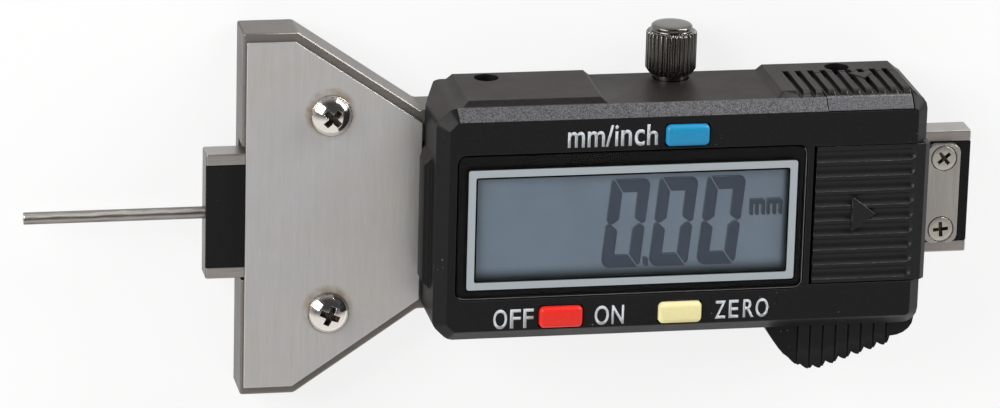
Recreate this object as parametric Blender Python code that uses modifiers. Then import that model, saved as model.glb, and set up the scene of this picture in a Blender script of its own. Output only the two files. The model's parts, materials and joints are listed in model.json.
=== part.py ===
"""Digital depth gauge for tyre tread, lying on its back with the display up.

X runs from the measuring face of the foot towards the display, Y runs across the
foot and Z is up. The model is built about the measuring face and the beam's axis,
and an empty then moves it so that the middle of its length lies over the origin.
"""

import math

import bmesh
import bpy
from mathutils import Vector

COLLECTION_NAME = "digital_depth_gauge"

# Clearances and sizes that all pieces share, in metres.
RUN_GAP = 0.0003
SEAT_GAP = 0.0001
SEAM_GAP = 0.00015
SHANK_GAP = 0.0002
OVERRUN = 0.001
WELD_DISTANCE = 0.000001
FLAT_DEGREES = 0.05

# Beam with its scale strip and depth rod. It rests partly drawn out of the foot.
BEAM_START_X = -0.0044
BEAM_REAR_REACH = 0.0082
BEAM_WIDTH = 0.016
BEAM_THICKNESS = 0.0035
BEAM_EDGE = 0.00015
SCALE_WIDTH = 0.013
SCALE_THICKNESS = 0.0004
ROD_DIAMETER = 0.0015
ROD_REACH = 0.0221
ROD_SEAT = 0.010
ROD_POINT = 0.0003

# Stop plate on the rear end of the beam.
STOP_PLATE_LENGTH = 0.0042
STOP_PLATE_WIDTH = 0.0128
STOP_PLATE_THICKNESS = 0.0009
STOP_PLATE_SETBACK = 0.0015
STOP_PLATE_CORNER = 0.0010
STOP_SCREW_SPREAD = 0.0093
STOP_SCREW_HEAD = 0.0032
STOP_SCREW_SHANK = 0.0014
STOP_SCREW_LENGTH = 0.0026
STOP_SCREW_CONE_SHARE = 0.6
STOP_SCREW_TURNS = (45.0, 5.0)

# Base frame: foot, neck and rails in one piece of steel with a channel for the beam.
CHANNEL_BACK = 0.0020
CHANNEL_LIP = 0.0001
BEAM_PLAY = 0.00095
FOOT_WIDTH = 0.0465
FOOT_LAND = 0.0067
NECK_X = 0.0219
FRAME_EDGE = 0.0002

# Cover plate on the front of the foot and its two pan head screws.
PLATE_THICKNESS = 0.0005
PLATE_INSET = 0.0011
PLATE_FACE_INSET = 0.0004
PLATE_SCREW_X = 0.0108
PLATE_SCREW_SPREAD = 0.0254
PLATE_SCREW_HEAD = 0.0050
PLATE_SCREW_RISE = 0.0016
PLATE_SCREW_SHANK = 0.0025
PLATE_SCREW_DEPTH = 0.0038
PLATE_SCREW_TURNS = (45.0, 27.0)
PLATE_SCREW_SIDE_SHARE = 0.33
PLATE_SCREW_CROWN = (25.0, 50.0, 75.0)

# Cross recess of every screw, as shares of the head's diameter.
RECESS_WIDTH_SHARE = 0.16
RECESS_DEPTH_SHARE = 0.16
RECESS_REACH_SHARE = 0.62

# Gib strip above the beam, its two set screws and the lock screw.
GIB_THICKNESS = 0.0014
GIB_HEIGHT = 0.0031
GIB_START_INSET = 0.0058
GIB_END_INSET = 0.0042
GIB_DIMPLE = 0.0003
GIB_SCREW_DIAMETER = 0.0025
GIB_SCREW_PROUD = 0.00015
GIB_SCREW_SLOT = 0.0005
GIB_ACCESS_DIAMETER = 0.0031
GIB_SCREW_START_INSET = 0.0079
GIB_SCREW_END_INSET = 0.0091
LOCK_X_INSET = 0.0310
LOCK_SHANK = 0.0027
LOCK_COLLAR = 0.0043
LOCK_KNOB = 0.0063
LOCK_KNOB_FOOT = 0.0055
LOCK_CAP = 0.0051
LOCK_KNOB_LENGTH = 0.0048
LOCK_KNOB_TAPER = 0.0006
LOCK_CAP_LENGTH = 0.0008
LOCK_COLLAR_DEPTH = 0.0011
LOCK_KNOB_CLEAR = 0.0007
KNURL_DEPTH = 0.0003
KNURL_COUNT = 30

# Front housing: a moulded shell over the rails of the frame.
HOUSING_SETBACK = 0.0005
HOUSING_LOW_WALL = 0.00092
HOUSING_HIGH_WALL = 0.00242
HOUSING_HIGH_BAND = 0.00572
HOUSING_END_WALL = 0.0005
HOUSING_BACK_Z = 0.0020
HOUSING_CORNER = 0.0019
HOUSING_FACET = 0.0019
HOUSING_FACET_EDGE = 0.0006
HOUSING_CHAMFER = 0.00143
HOUSING_FRONT_WALL = 0.0020
HOUSING_LEAN_RUN = 0.0017
HOUSING_LEAN_RISE = 0.0042
HOUSING_HEEL = 0.0012
BOARD_SIDE_WALL = 0.0013
BOARD_HIGH_WALL = 0.0020
BOARD_START_WALL = 0.0026
BOARD_END_WALL = 0.0012

# Rib that stands on the housing's left wall.
RIB_DEPTH = 0.00095
RIB_LENGTH = 0.0169
RIB_LIFT = 0.0005
RIB_HEIGHT = 0.0051
RIB_OFFSET = 0.0005

# Two raised pads on the housing's upper side, the second with finger grooves.
PAD_RAISE = 0.00063
PAD_RUN = 0.0009
PAD_FRONT_DROP = 0.0016
LEFT_PAD_INSET = 0.0040
LEFT_PAD_LENGTH = 0.0164
RIGHT_PAD_INSET = 0.0021
RIGHT_PAD_LENGTH = 0.0161
GROOVE_PITCH = 0.001575
GROOVE_WIDTH = 0.0008
GROOVE_DEPTH = 0.0007
GROOVE_WALL_SHARE = 0.5
GROOVE_START_Z = 0.0052
HOUSING_GROOVES = 2
PORT_GROOVES = 6

# Thumb grip under the housing.
GRIP_LENGTH = 0.0191
GRIP_NOSE_X = 0.0114
GRIP_NOSE_DROP = 0.0061
GRIP_NOSE_RADIUS = 0.0035
GRIP_SLOPE_SHARE = 0.337
GRIP_FRONT_DROP = 0.0029
GRIP_BACK_LIFT = 0.0001
GRIP_END_INSET = 0.00005
GRIP_END_LENGTH = 0.0029
GRIP_END_DROP = 0.0023
TOOTH_PITCH = 0.00162
TOOTH_DEPTH = 0.0007
TOOTH_COUNT = 8
TOOTH_GROOVE = 0.00025
TOOTH_TIP_SHARE = 0.66
TOOTH_RUN_IN = 4
TOOTH_SHARES = (0.0, 0.15, 0.35, 0.52, 0.66, 0.78, 0.9)

# Display: clear window, silver frame, glass, rubber contact strip.
WINDOW_THICKNESS = 0.0008
WINDOW_START_INSET = 0.0026
WINDOW_LOW_INSET = 0.00557
WINDOW_CORNER = 0.0010
WINDOW_SINK = 0.00005
WINDOW_LEDGE = 0.0009
WINDOW_BRIDGE = 0.0013
LCD_FRAME_START = 0.0013
LCD_FRAME_END = 0.0011
LCD_FRAME_LOW = 0.0012
LCD_FRAME_HIGH = 0.00188
LCD_FRAME_LENGTH = 0.0409
LCD_FRAME_WIDTH = 0.01527
LCD_FRAME_LINE = 0.0009
LCD_FRAME_THICKNESS = 0.0003
LCD_FRAME_CORNER = 0.0003
GLASS_THICKNESS = 0.0017
ZEBRA_LENGTH = 0.0340
ZEBRA_WIDTH = 0.0020
ZEBRA_EDGE = 0.0004

# Circuit board with its chip, the contact domes and the buttons above them.
BOARD_THICKNESS = 0.0009
POST_HALF = 0.0021
CHIP_DIAMETER = 0.0070
CHIP_HEIGHT = 0.0012
DOME_DIAMETER = 0.0024
DOME_HEIGHT = 0.0004
BUTTON_LENGTH = 0.0054
BUTTON_WIDTH = 0.0027
BUTTON_PROUD = 0.0007
BUTTON_TRAVEL = 0.0005
BUTTON_CORNER = 0.0004
BUTTON_FLANGE_REACH = 0.0006
BUTTON_FLANGE_THICKNESS = 0.0006
BUTTON_STEM = 0.0018
HIGH_ROW_INSET = 0.00382
LOW_ROW_INSET = 0.00302
UNIT_BUTTON_SHARE = 0.503
POWER_BUTTON_SHARE = 0.2565
ZERO_BUTTON_SHARE = 0.5

# Button cell, its two contacts and the sliding cover over it.
CELL_DIAMETER = 0.0116
CELL_HEIGHT = 0.0054
CELL_RIM = 0.0006
CELL_STEP = 0.0004
CELL_END_WALL = 0.0012
CONTACT_THICKNESS = 0.0002
CONTACT_WIDTH = 0.0030
CONTACT_SPRING_HEIGHT = 0.0004
CONTACT_LENGTH = 0.0070
CONTACT_TAB = 0.0034
COVER_LAP = 0.0009
COVER_OVERHANG = 0.00035
COVER_SIDE_LAP = 0.0030
COVER_THICKNESS = 0.00225
COVER_SINK = 0.0001
COVER_START_GAP = 0.00045
COVER_CHAMFER = 0.00065
COVER_TONGUE = 0.0009
COVER_TONGUE_THICKNESS = 0.0007
COVER_TONGUE_INSET = 0.0006
SCOOP_COUNT = 9
SCOOP_PITCH = 0.00189
SCOOP_LAND = 0.00035
SCOOP_DEPTH = 0.00038
SCOOP_END_INSET = 0.0016
ARROW_START_INSET = 0.0048
ARROW_LENGTH = 0.0028
ARROW_WIDTH = 0.0043
ARROW_RISE = 0.00012

# Sliding cover over the data port, and the connector under it.
PORT_COVER_LENGTH = 0.01065
PORT_COVER_INSET = 0.0021
PORT_COVER_HEIGHT = 0.00945
PORT_NOSE_SHARE = 0.25
PORT_TONGUE = 0.0005
PORT_TONGUE_THICKNESS = 0.00035
PORT_TONGUE_HEIGHT = 0.0025
PORT_TRAVEL = 0.0060
PORT_ARROW_OFFSET = 0.0006
PORT_ARROW_START = 0.0008
PORT_ARROW_LENGTH = 0.0022
PORT_ARROW_WIDTH = 0.0031
CONNECTOR_LENGTH = 0.0060
CONNECTOR_WIDTH = 0.0015
CONNECTOR_HEIGHT = 0.0052
CONNECTOR_SLOTS = 4
CONNECTOR_SLOT = 0.0007
CONNECTOR_SLOT_DEPTH = 0.0012

# Four screws that hold the housing to the frame from the back.
HOUSING_SCREW_START_INSET = 0.0036
HOUSING_SCREW_END_INSET = 0.0026
HOUSING_SCREW_EDGE = 0.00185
HOUSING_SCREW_SHANK = 0.0017
HOUSING_SCREW_HEAD = 0.0028
HOUSING_SCREW_HEAD_HEIGHT = 0.0011
HOUSING_SCREW_SINK = 0.0002
HOUSING_SCREW_LENGTH = 0.0080

# Lengths that follow from the display frame and the cell.
WINDOW_LENGTH = LCD_FRAME_START + LCD_FRAME_LENGTH + LCD_FRAME_END
WINDOW_WIDTH = LCD_FRAME_LOW + LCD_FRAME_WIDTH + LCD_FRAME_HIGH
COVER_LENGTH = CELL_END_WALL + RUN_GAP + CELL_DIAMETER + COVER_LAP + COVER_OVERHANG
COVER_WIDTH = CELL_DIAMETER + 2 * COVER_SIDE_LAP
HOUSING_LENGTH = (
    WINDOW_START_INSET + WINDOW_LENGTH + WINDOW_BRIDGE + COVER_LENGTH - COVER_OVERHANG
)
HOUSING_WIDTH = WINDOW_LOW_INSET + WINDOW_WIDTH + HOUSING_HIGH_BAND

# Heights, from the back of the frame up.
BEAM_BACK_Z = CHANNEL_BACK + RUN_GAP
BEAM_FRONT_Z = BEAM_BACK_Z + BEAM_THICKNESS
BEAM_MIDDLE_Z = BEAM_BACK_Z + BEAM_THICKNESS / 2
FRAME_FRONT_Z = BEAM_FRONT_Z + CHANNEL_LIP
PLATE_BACK_Z = FRAME_FRONT_Z + SEAT_GAP
PLATE_FRONT_Z = PLATE_BACK_Z + PLATE_THICKNESS
BOARD_BACK_Z = FRAME_FRONT_Z + RUN_GAP
BOARD_FRONT_Z = BOARD_BACK_Z + BOARD_THICKNESS
DECK_Z = BOARD_FRONT_Z + RUN_GAP
CELL_BACK_Z = BOARD_FRONT_Z + CONTACT_SPRING_HEIGHT + SEAT_GAP
CELL_FRONT_Z = CELL_BACK_Z + CELL_HEIGHT
COVER_BACK_Z = CELL_FRONT_Z + RUN_GAP
COVER_FRONT_Z = COVER_BACK_Z + COVER_THICKNESS
HOUSING_FRONT_Z = COVER_FRONT_Z + COVER_SINK
CEILING_Z = HOUSING_FRONT_Z - HOUSING_FRONT_WALL
WINDOW_FRONT_Z = HOUSING_FRONT_Z - WINDOW_SINK
WINDOW_BACK_Z = WINDOW_FRONT_Z - WINDOW_THICKNESS
GLASS_FRONT_Z = WINDOW_BACK_Z - SEAT_GAP
GLASS_BACK_Z = GLASS_FRONT_Z - GLASS_THICKNESS

# Places across and along, from the beam's axis and the measuring face.
CHANNEL_LOW_Y = -BEAM_WIDTH / 2 - RUN_GAP
CHANNEL_HIGH_Y = BEAM_WIDTH / 2 + BEAM_PLAY
GIB_LOW_Y = BEAM_WIDTH / 2 + RUN_GAP
GIB_HIGH_Y = GIB_LOW_Y + GIB_THICKNESS
GIB_POCKET_Y = GIB_HIGH_Y + RUN_GAP
NECK_HALF = (HOUSING_WIDTH - HOUSING_LOW_WALL - HOUSING_HIGH_WALL) / 2 - RUN_GAP
GIB_SCREW_LENGTH = NECK_HALF + GIB_SCREW_PROUD - GIB_POCKET_Y
HOUSING_START_X = NECK_X + HOUSING_SETBACK
HOUSING_END_X = HOUSING_START_X + HOUSING_LENGTH
FRAME_END_X = HOUSING_END_X - HOUSING_END_WALL - RUN_GAP
HOUSING_LOW_Y = -NECK_HALF - RUN_GAP - HOUSING_LOW_WALL
HOUSING_HIGH_Y = NECK_HALF + RUN_GAP + HOUSING_HIGH_WALL
HOUSING_MIDDLE_Y = (HOUSING_LOW_Y + HOUSING_HIGH_Y) / 2
PAD_Y = HOUSING_HIGH_Y + PAD_RAISE
LOCK_X = HOUSING_START_X + LOCK_X_INSET
GIB_START_X = HOUSING_START_X + GIB_START_INSET
GIB_END_X = HOUSING_END_X - GIB_END_INSET
GIB_SCREW_PLACES = (
    HOUSING_START_X + GIB_SCREW_START_INSET,
    HOUSING_END_X - GIB_SCREW_END_INSET,
)
WINDOW_START_X = HOUSING_START_X + WINDOW_START_INSET
WINDOW_END_X = WINDOW_START_X + WINDOW_LENGTH
WINDOW_LOW_Y = HOUSING_LOW_Y + WINDOW_LOW_INSET
WINDOW_HIGH_Y = WINDOW_LOW_Y + WINDOW_WIDTH
BOARD_START_X = HOUSING_START_X + BOARD_START_WALL + RUN_GAP
BOARD_END_X = HOUSING_END_X - BOARD_END_WALL - RUN_GAP
BOARD_LOW_Y = HOUSING_LOW_Y + BOARD_SIDE_WALL + RUN_GAP
BOARD_HIGH_Y = HOUSING_HIGH_Y - BOARD_HIGH_WALL - RUN_GAP
CELL_X = HOUSING_END_X - CELL_END_WALL - RUN_GAP - CELL_DIAMETER / 2
COVER_END_X = HOUSING_END_X + COVER_OVERHANG
COVER_START_X = COVER_END_X - COVER_LENGTH
COVER_LOW_Y = HOUSING_MIDDLE_Y - COVER_WIDTH / 2
COVER_HIGH_Y = HOUSING_MIDDLE_Y + COVER_WIDTH / 2
PORT_COVER_END_X = HOUSING_END_X - PORT_COVER_INSET
PORT_COVER_START_X = PORT_COVER_END_X - PORT_COVER_LENGTH
PORT_COVER_BACK_Z = HOUSING_FRONT_Z - PORT_COVER_HEIGHT
PORT_FLOOR_Y = HOUSING_HIGH_Y - HOUSING_CHAMFER - SEAM_GAP
GROOVE_PLACES = [
    PORT_COVER_START_X - SEAM_GAP / 2 + GROOVE_PITCH * (index - HOUSING_GROOVES)
    for index in range(HOUSING_GROOVES + 1 + PORT_GROOVES)
]
BEAM_END_X = HOUSING_END_X + BEAM_REAR_REACH
STOP_PLATE_END_X = BEAM_END_X - STOP_PLATE_SETBACK
STOP_PLATE_START_X = STOP_PLATE_END_X - STOP_PLATE_LENGTH
ROD_TIP_X = BEAM_START_X - ROD_REACH
LENGTH_MIDDLE_X = (ROD_TIP_X + BEAM_END_X) / 2
BUTTON_PLACES = {
    "unit": (
        HOUSING_START_X + HOUSING_LENGTH * UNIT_BUTTON_SHARE,
        HOUSING_HIGH_Y - HIGH_ROW_INSET,
    ),
    "power": (
        HOUSING_START_X + HOUSING_LENGTH * POWER_BUTTON_SHARE,
        HOUSING_LOW_Y + LOW_ROW_INSET,
    ),
    "zero": (
        HOUSING_START_X + HOUSING_LENGTH * ZERO_BUTTON_SHARE,
        HOUSING_LOW_Y + LOW_ROW_INSET,
    ),
}
HOUSING_SCREW_PLACES = [
    (x, y)
    for x in (HOUSING_START_X + HOUSING_SCREW_START_INSET, HOUSING_END_X - HOUSING_SCREW_END_INSET)
    for y in (HOUSING_SCREW_EDGE - NECK_HALF, NECK_HALF - HOUSING_SCREW_EDGE)
]

# Finishes: base colour, roughness and metallic value.
STAINLESS = ((0.60, 0.59, 0.57), 0.32, 1.0)
NICKEL = ((0.78, 0.77, 0.74), 0.16, 1.0)
GUNMETAL = ((0.32, 0.30, 0.28), 0.30, 1.0)
BRASS = ((0.72, 0.55, 0.28), 0.30, 1.0)
BLACK_PLASTIC = ((0.018, 0.018, 0.019), 0.42, 0.0)
SCALE_BLACK = ((0.012, 0.012, 0.013), 0.55, 0.0)
CLEAR_PLASTIC = ((0.80, 0.84, 0.86), 0.05, 0.0)
SILVER_TRIM = ((0.70, 0.72, 0.73), 0.30, 0.6)
LCD_GLASS = ((0.16, 0.20, 0.23), 0.12, 0.0)
GREY_RUBBER = ((0.20, 0.20, 0.21), 0.70, 0.0)
BOARD_GREEN = ((0.03, 0.14, 0.05), 0.45, 0.0)
BLUE_BUTTON = ((0.02, 0.30, 0.58), 0.38, 0.0)
RED_BUTTON = ((0.78, 0.03, 0.02), 0.38, 0.0)
YELLOW_BUTTON = ((0.80, 0.74, 0.34), 0.38, 0.0)

AXIS_TURNS = {
    "X": (math.pi / 2, 0.0, math.pi / 2),
    "Y": (math.pi / 2, 0.0, 0.0),
    "Z": (0.0, 0.0, 0.0),
}
TURNED_AXES = {
    "X": (0.0, math.pi / 2, 0.0),
    "Y": (-math.pi / 2, 0.0, 0.0),
    "Z": (0.0, 0.0, 0.0),
}


def clear_scene():
    """Empty the file of the objects that it starts with."""
    for obj in list(bpy.data.objects):
        bpy.data.objects.remove(obj, do_unlink=True)


def make_collection(name):
    """Make a collection in the scene and give it back."""
    collection = bpy.data.collections.new(name)
    bpy.context.scene.collection.children.link(collection)
    return collection


def make_material(name, finish):
    """Make a Principled material from a finish."""
    colour, roughness, metallic = finish
    material = bpy.data.materials.new(name)
    material.use_nodes = True
    shader = material.node_tree.nodes["Principled BSDF"]
    shader.inputs["Base Color"].default_value = (*colour, 1.0)
    shader.inputs["Roughness"].default_value = roughness
    shader.inputs["Metallic"].default_value = metallic
    material.diffuse_color = (*colour, 1.0)
    return material


def add(name, data, place, turn, finish):
    """Link an object under the origin empty, as a piece or, without a finish, as a cutter."""
    obj = bpy.data.objects.new(name, data)
    obj.location = place
    obj.rotation_euler = turn
    obj.parent = bpy.data.objects["gauge_origin"]
    if finish:
        bpy.data.collections[COLLECTION_NAME].objects.link(obj)
        data.materials.append(make_material(name, finish))
    else:
        bpy.data.collections["cutters"].objects.link(obj)
        obj.hide_render = True
        obj.display_type = "WIRE"
    bpy.context.view_layer.update()
    return obj


def settle(obj, finish=None):
    """Replace an object by a welded mesh of its evaluated shape, with whole flat faces."""
    graph = bpy.context.evaluated_depsgraph_get()
    mesh = bpy.data.meshes.new_from_object(obj.evaluated_get(graph))
    shape = bmesh.new()
    shape.from_mesh(mesh)
    bmesh.ops.remove_doubles(shape, verts=shape.verts, dist=WELD_DISTANCE)
    flat = math.radians(FLAT_DEGREES)
    bmesh.ops.dissolve_limit(shape, angle_limit=flat, verts=shape.verts, edges=shape.edges)
    bmesh.ops.recalc_face_normals(shape, faces=shape.faces)
    shape.to_mesh(mesh)
    shape.free()
    mesh.materials.clear()
    name = obj.name
    place = obj.location.copy()
    turn = obj.rotation_euler.copy()
    bpy.data.objects.remove(obj, do_unlink=True)
    mesh.name = name
    return add(name, mesh, place, turn, finish)


def block(name, low, high, finish=None):
    """Make a box between two corners, with its origin at its middle."""
    low = Vector(low)
    high = Vector(high)
    shape = bmesh.new()
    bmesh.ops.create_cube(shape, size=1.0)
    bmesh.ops.scale(shape, vec=high - low, verts=shape.verts)
    mesh = bpy.data.meshes.new(name)
    shape.to_mesh(mesh)
    shape.free()
    return add(name, mesh, (low + high) / 2, AXIS_TURNS["Z"], finish)


def extruded(name, outline, low, high, axis="Z", finish=None, place=(0.0, 0.0)):
    """Extrude an outline between two heights along an axis.

    The outline lies in XY for the Z axis, in XZ for the Y axis and in YZ for the X axis,
    and place moves it in that plane.
    """
    curve = bpy.data.curves.new(name, "CURVE")
    curve.dimensions = "2D"
    curve.fill_mode = "BOTH"
    curve.extrude = (high - low) / 2
    spline = curve.splines.new("POLY")
    spline.use_smooth = False
    spline.points.add(len(outline) - 1)
    for point, (across, up) in zip(spline.points, outline):
        point.co = (across, up, 0.0, 1.0)
    spline.use_cyclic_u = True
    middle = (low + high) / 2
    across, up = place
    places = {
        "X": (middle, across, up),
        "Y": (across, middle, up),
        "Z": (across, up, middle),
    }
    return settle(add(name, curve, places[axis], AXIS_TURNS[axis], None), finish)


def turned(name, profile, place, axis="Z", finish=None, steps=32):
    """Turn a profile of radius and height, given from top to bottom, about an axis."""
    mesh = bpy.data.meshes.new(name)
    points = [(radius, 0.0, height) for radius, height in profile]
    edges = [(index, index + 1) for index in range(len(points) - 1)]
    mesh.from_pydata(points, edges, [])
    obj = add(name, mesh, place, TURNED_AXES[axis], finish)
    screw = obj.modifiers.new("turn", "SCREW")
    screw.axis = "Z"
    screw.angle = math.tau
    screw.steps = steps
    screw.render_steps = steps
    screw.use_merge_vertices = True
    screw.merge_threshold = WELD_DISTANCE
    screw.use_smooth_shade = True
    return obj


def drum(name, diameter, start, length, axis="Z", finish=None, steps=24):
    """Make a plain cylinder that starts at a point and runs along an axis."""
    radius = diameter / 2
    profile = [(0.0, length), (radius, length), (radius, 0.0), (0.0, 0.0)]
    return turned(name, profile, start, axis, finish, steps)


def combine(piece, tool, operation):
    """Join a tool to a piece or cut it away, with the exact solver."""
    step = piece.modifiers.new(tool.name, "BOOLEAN")
    step.operation = operation
    step.solver = "EXACT"
    step.object = tool


def cut(piece, *tools):
    """Cut tools out of a piece."""
    for tool in tools:
        combine(piece, tool, "DIFFERENCE")


def unite(piece, *tools):
    """Join tools to a piece as one body."""
    for tool in tools:
        combine(piece, tool, "UNION")


def soften(piece, width, segments=1):
    """Break all sharp edges of a piece."""
    bevel = piece.modifiers.new("edges", "BEVEL")
    bevel.width = width
    bevel.segments = segments
    bevel.limit_method = "ANGLE"


def smooth_round_faces(piece):
    """Shade the piece smooth where its faces meet at a blunt angle."""
    piece.data.shade_smooth()
    piece.data.set_sharp_from_angle(angle=math.radians(35.0))


def bevel_edges(piece, width, segments, wanted):
    """Bevel the edges of a piece's mesh whose middle and direction the test accepts."""
    shape = bmesh.new()
    shape.from_mesh(piece.data)
    edges = []
    for edge in shape.edges:
        start, end = (vertex.co for vertex in edge.verts)
        if wanted((start + end) / 2, (end - start).normalized()):
            edges.append(edge)
    bmesh.ops.bevel(shape, geom=edges, offset=width, segments=segments, profile=0.5, affect="EDGES")
    shape.to_mesh(piece.data)
    shape.free()


def is_upright(way):
    """Whether a direction runs along Z."""
    return abs(way.z) > max(abs(way.x), abs(way.y))


def rectangle(low_x, high_x, low_y, high_y):
    """Give the corners of a rectangle, anticlockwise."""
    return [(low_x, low_y), (high_x, low_y), (high_x, high_y), (low_x, high_y)]


def rounded(corners, radius, steps=4):
    """Round every corner of a convex outline with an arc."""
    points = []
    count = len(corners)
    for index, corner in enumerate(corners):
        corner = Vector(corner)
        back = (Vector(corners[index - 1]) - corner).normalized()
        ahead = (Vector(corners[(index + 1) % count]) - corner).normalized()
        half = back.angle(ahead) / 2
        centre = corner + (back + ahead).normalized() * radius / math.sin(half)
        first = corner + back * radius / math.tan(half) - centre
        last = corner + ahead * radius / math.tan(half) - centre
        start = math.atan2(first.y, first.x)
        sweep = math.atan2(last.y, last.x) - start
        sweep = (sweep + math.pi) % math.tau - math.pi
        for step in range(steps + 1):
            angle = start + sweep * step / steps
            points.append((centre.x + radius * math.cos(angle), centre.y + radius * math.sin(angle)))
    return points


def cross_recess(piece, place, diameter, low, high, turn=0.0):
    """Cut a cross recess of two arms into a screw head, between two heights."""
    reach = diameter * RECESS_REACH_SHARE / 2
    half = diameter * RECESS_WIDTH_SHARE / 2
    x, y = place
    for index, (half_x, half_y) in enumerate(((reach, half), (half, reach))):
        arm = block(
            f"{piece.name}_recess_{index + 1}",
            (x - half_x, y - half_y, low),
            (x + half_x, y + half_y, high),
        )
        arm.rotation_euler.z = math.radians(turn)
        cut(piece, arm)


def frame_outline():
    """Outline of the base frame: foot, slanted neck and the rails' common sides."""
    half = FOOT_WIDTH / 2
    upper = [(0.0, half), (FOOT_LAND, half), (NECK_X, NECK_HALF), (FRAME_END_X, NECK_HALF)]
    return upper + [(x, -y) for x, y in reversed(upper)]


def plate_outline():
    """Outline of the cover plate, set in from the foot's edges."""
    half = FOOT_WIDTH / 2 - PLATE_INSET
    end = HOUSING_START_X - RUN_GAP
    slant = Vector((NECK_X - FOOT_LAND, NECK_HALF - FOOT_WIDTH / 2)).normalized()
    inward = Vector((slant.y, -slant.x)) * PLATE_INSET
    edge = Vector((FOOT_LAND, FOOT_WIDTH / 2)) + inward
    slope = slant.y / slant.x
    corner_x = edge.x + (half - edge.y) / slope
    end_y = edge.y + (end - edge.x) * slope
    upper = [(PLATE_FACE_INSET, half), (corner_x, half), (end, end_y)]
    return upper + [(x, -y) for x, y in reversed(upper)]


def board_block(name, grow, end_x, low_z, high_z, finish=None):
    """Board, or its cavity when it is grown, with corners left out for the housing's screw posts."""
    board = block(
        name,
        (BOARD_START_X - grow, BOARD_LOW_Y - grow, low_z),
        (end_x + grow, BOARD_HIGH_Y + grow, high_z),
        finish,
    )
    post = POST_HALF - grow
    for index, (x, y) in enumerate(HOUSING_SCREW_PLACES):
        if x > end_x:
            continue
        way_x = -1 if x < LOCK_X else 1
        way_y = -1 if y < 0 else 1
        xs = sorted((x - way_x * post, x + way_x * 2 * POST_HALF))
        ys = sorted((y - way_y * post, y + way_y * 2 * POST_HALF))
        corner = block(
            f"{name}_corner_{index + 1}",
            (xs[0], ys[0], low_z - OVERRUN),
            (xs[1], ys[1], high_z + OVERRUN),
        )
        cut(board, corner)
    return board


def screw_hole(name, diameter, place, low, high):
    """Make a cutter for a screw hole along Z."""
    return drum(name, diameter + 2 * SHANK_GAP, (*place, low), high - low)


def make_base_frame():
    """Foot, neck and rails, with the beam's channel open to the front."""
    frame = extruded("base_frame", frame_outline(), 0.0, FRAME_FRONT_Z, finish=STAINLESS)
    soften(frame, FRAME_EDGE)
    channel = block(
        "channel_cutter",
        (-OVERRUN, CHANNEL_LOW_Y, CHANNEL_BACK),
        (FRAME_END_X + OVERRUN, CHANNEL_HIGH_Y, FRAME_FRONT_Z + OVERRUN),
    )
    pocket = block(
        "gib_pocket_cutter",
        (GIB_START_X - RUN_GAP, 0.0, CHANNEL_BACK),
        (GIB_END_X + RUN_GAP, GIB_POCKET_Y, FRAME_FRONT_Z + OVERRUN),
    )
    cut(frame, channel, pocket)
    for index, side in enumerate((-1, 1)):
        place = (PLATE_SCREW_X, side * PLATE_SCREW_SPREAD / 2)
        depth = PLATE_SCREW_DEPTH + SHANK_GAP
        name = f"frame_plate_screw_hole_{index + 1}"
        low = PLATE_FRONT_Z - depth
        cut(frame, screw_hole(name, PLATE_SCREW_SHANK, place, low, PLATE_FRONT_Z))
    shank = HOUSING_SCREW_SHANK / 2 + SHANK_GAP
    head = HOUSING_SCREW_HEAD / 2 + SHANK_GAP
    seat = HOUSING_SCREW_SINK + HOUSING_SCREW_HEAD_HEIGHT + SEAT_GAP
    top = FRAME_FRONT_Z + OVERRUN
    profile = [(0.0, top), (shank, top), (shank, seat), (head, seat), (head, -OVERRUN), (0.0, -OVERRUN)]
    for index, place in enumerate(HOUSING_SCREW_PLACES):
        cut(frame, turned(f"frame_housing_screw_hole_{index + 1}", profile, (*place, 0.0), steps=20))
    rail = NECK_HALF - CHANNEL_HIGH_Y + 2 * OVERRUN
    for index, x in enumerate(GIB_SCREW_PLACES):
        start = (x, CHANNEL_HIGH_Y - OVERRUN, BEAM_MIDDLE_Z)
        name = f"frame_gib_screw_hole_{index + 1}"
        cut(frame, drum(name, GIB_SCREW_DIAMETER + 2 * SHANK_GAP, start, rail, "Y"))
    start = (LOCK_X, CHANNEL_HIGH_Y - OVERRUN, BEAM_MIDDLE_Z)
    cut(frame, drum("frame_lock_hole", LOCK_SHANK + 2 * SHANK_GAP, start, rail, "Y"))


def make_cover_plate():
    """Thin plate over the channel at the foot, and its two pan head screws."""
    plate = extruded(
        "base_cover_plate", plate_outline(), PLATE_BACK_Z, PLATE_FRONT_Z, finish=STAINLESS
    )
    head = PLATE_SCREW_HEAD / 2
    shank = PLATE_SCREW_SHANK / 2
    rise = PLATE_SCREW_RISE
    side_height = rise * PLATE_SCREW_SIDE_SHARE
    profile = [(0.0, rise)]
    for degrees in PLATE_SCREW_CROWN:
        angle = math.radians(degrees)
        up = side_height + (rise - side_height) * math.cos(angle)
        profile.append((head * math.sin(angle), up))
    profile += [(head, side_height), (head, 0.0), (shank, 0.0)]
    profile += [(shank, -PLATE_SCREW_DEPTH), (0.0, -PLATE_SCREW_DEPTH)]
    for index, side in enumerate((1, -1)):
        place = (PLATE_SCREW_X, side * PLATE_SCREW_SPREAD / 2)
        hole = screw_hole(
            f"plate_hole_{index + 1}", PLATE_SCREW_SHANK, place,
            PLATE_BACK_Z - OVERRUN, PLATE_FRONT_Z + OVERRUN,
        )
        cut(plate, hole)
        seat = PLATE_FRONT_Z + SEAT_GAP
        name = f"base_plate_screw_{index + 1}"
        screw = turned(name, profile, (*place, seat), finish=NICKEL, steps=24)
        recess_z = seat + rise - PLATE_SCREW_HEAD * RECESS_DEPTH_SHARE
        top = seat + rise + OVERRUN
        cross_recess(screw, place, PLATE_SCREW_HEAD, recess_z, top, PLATE_SCREW_TURNS[index])


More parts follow.
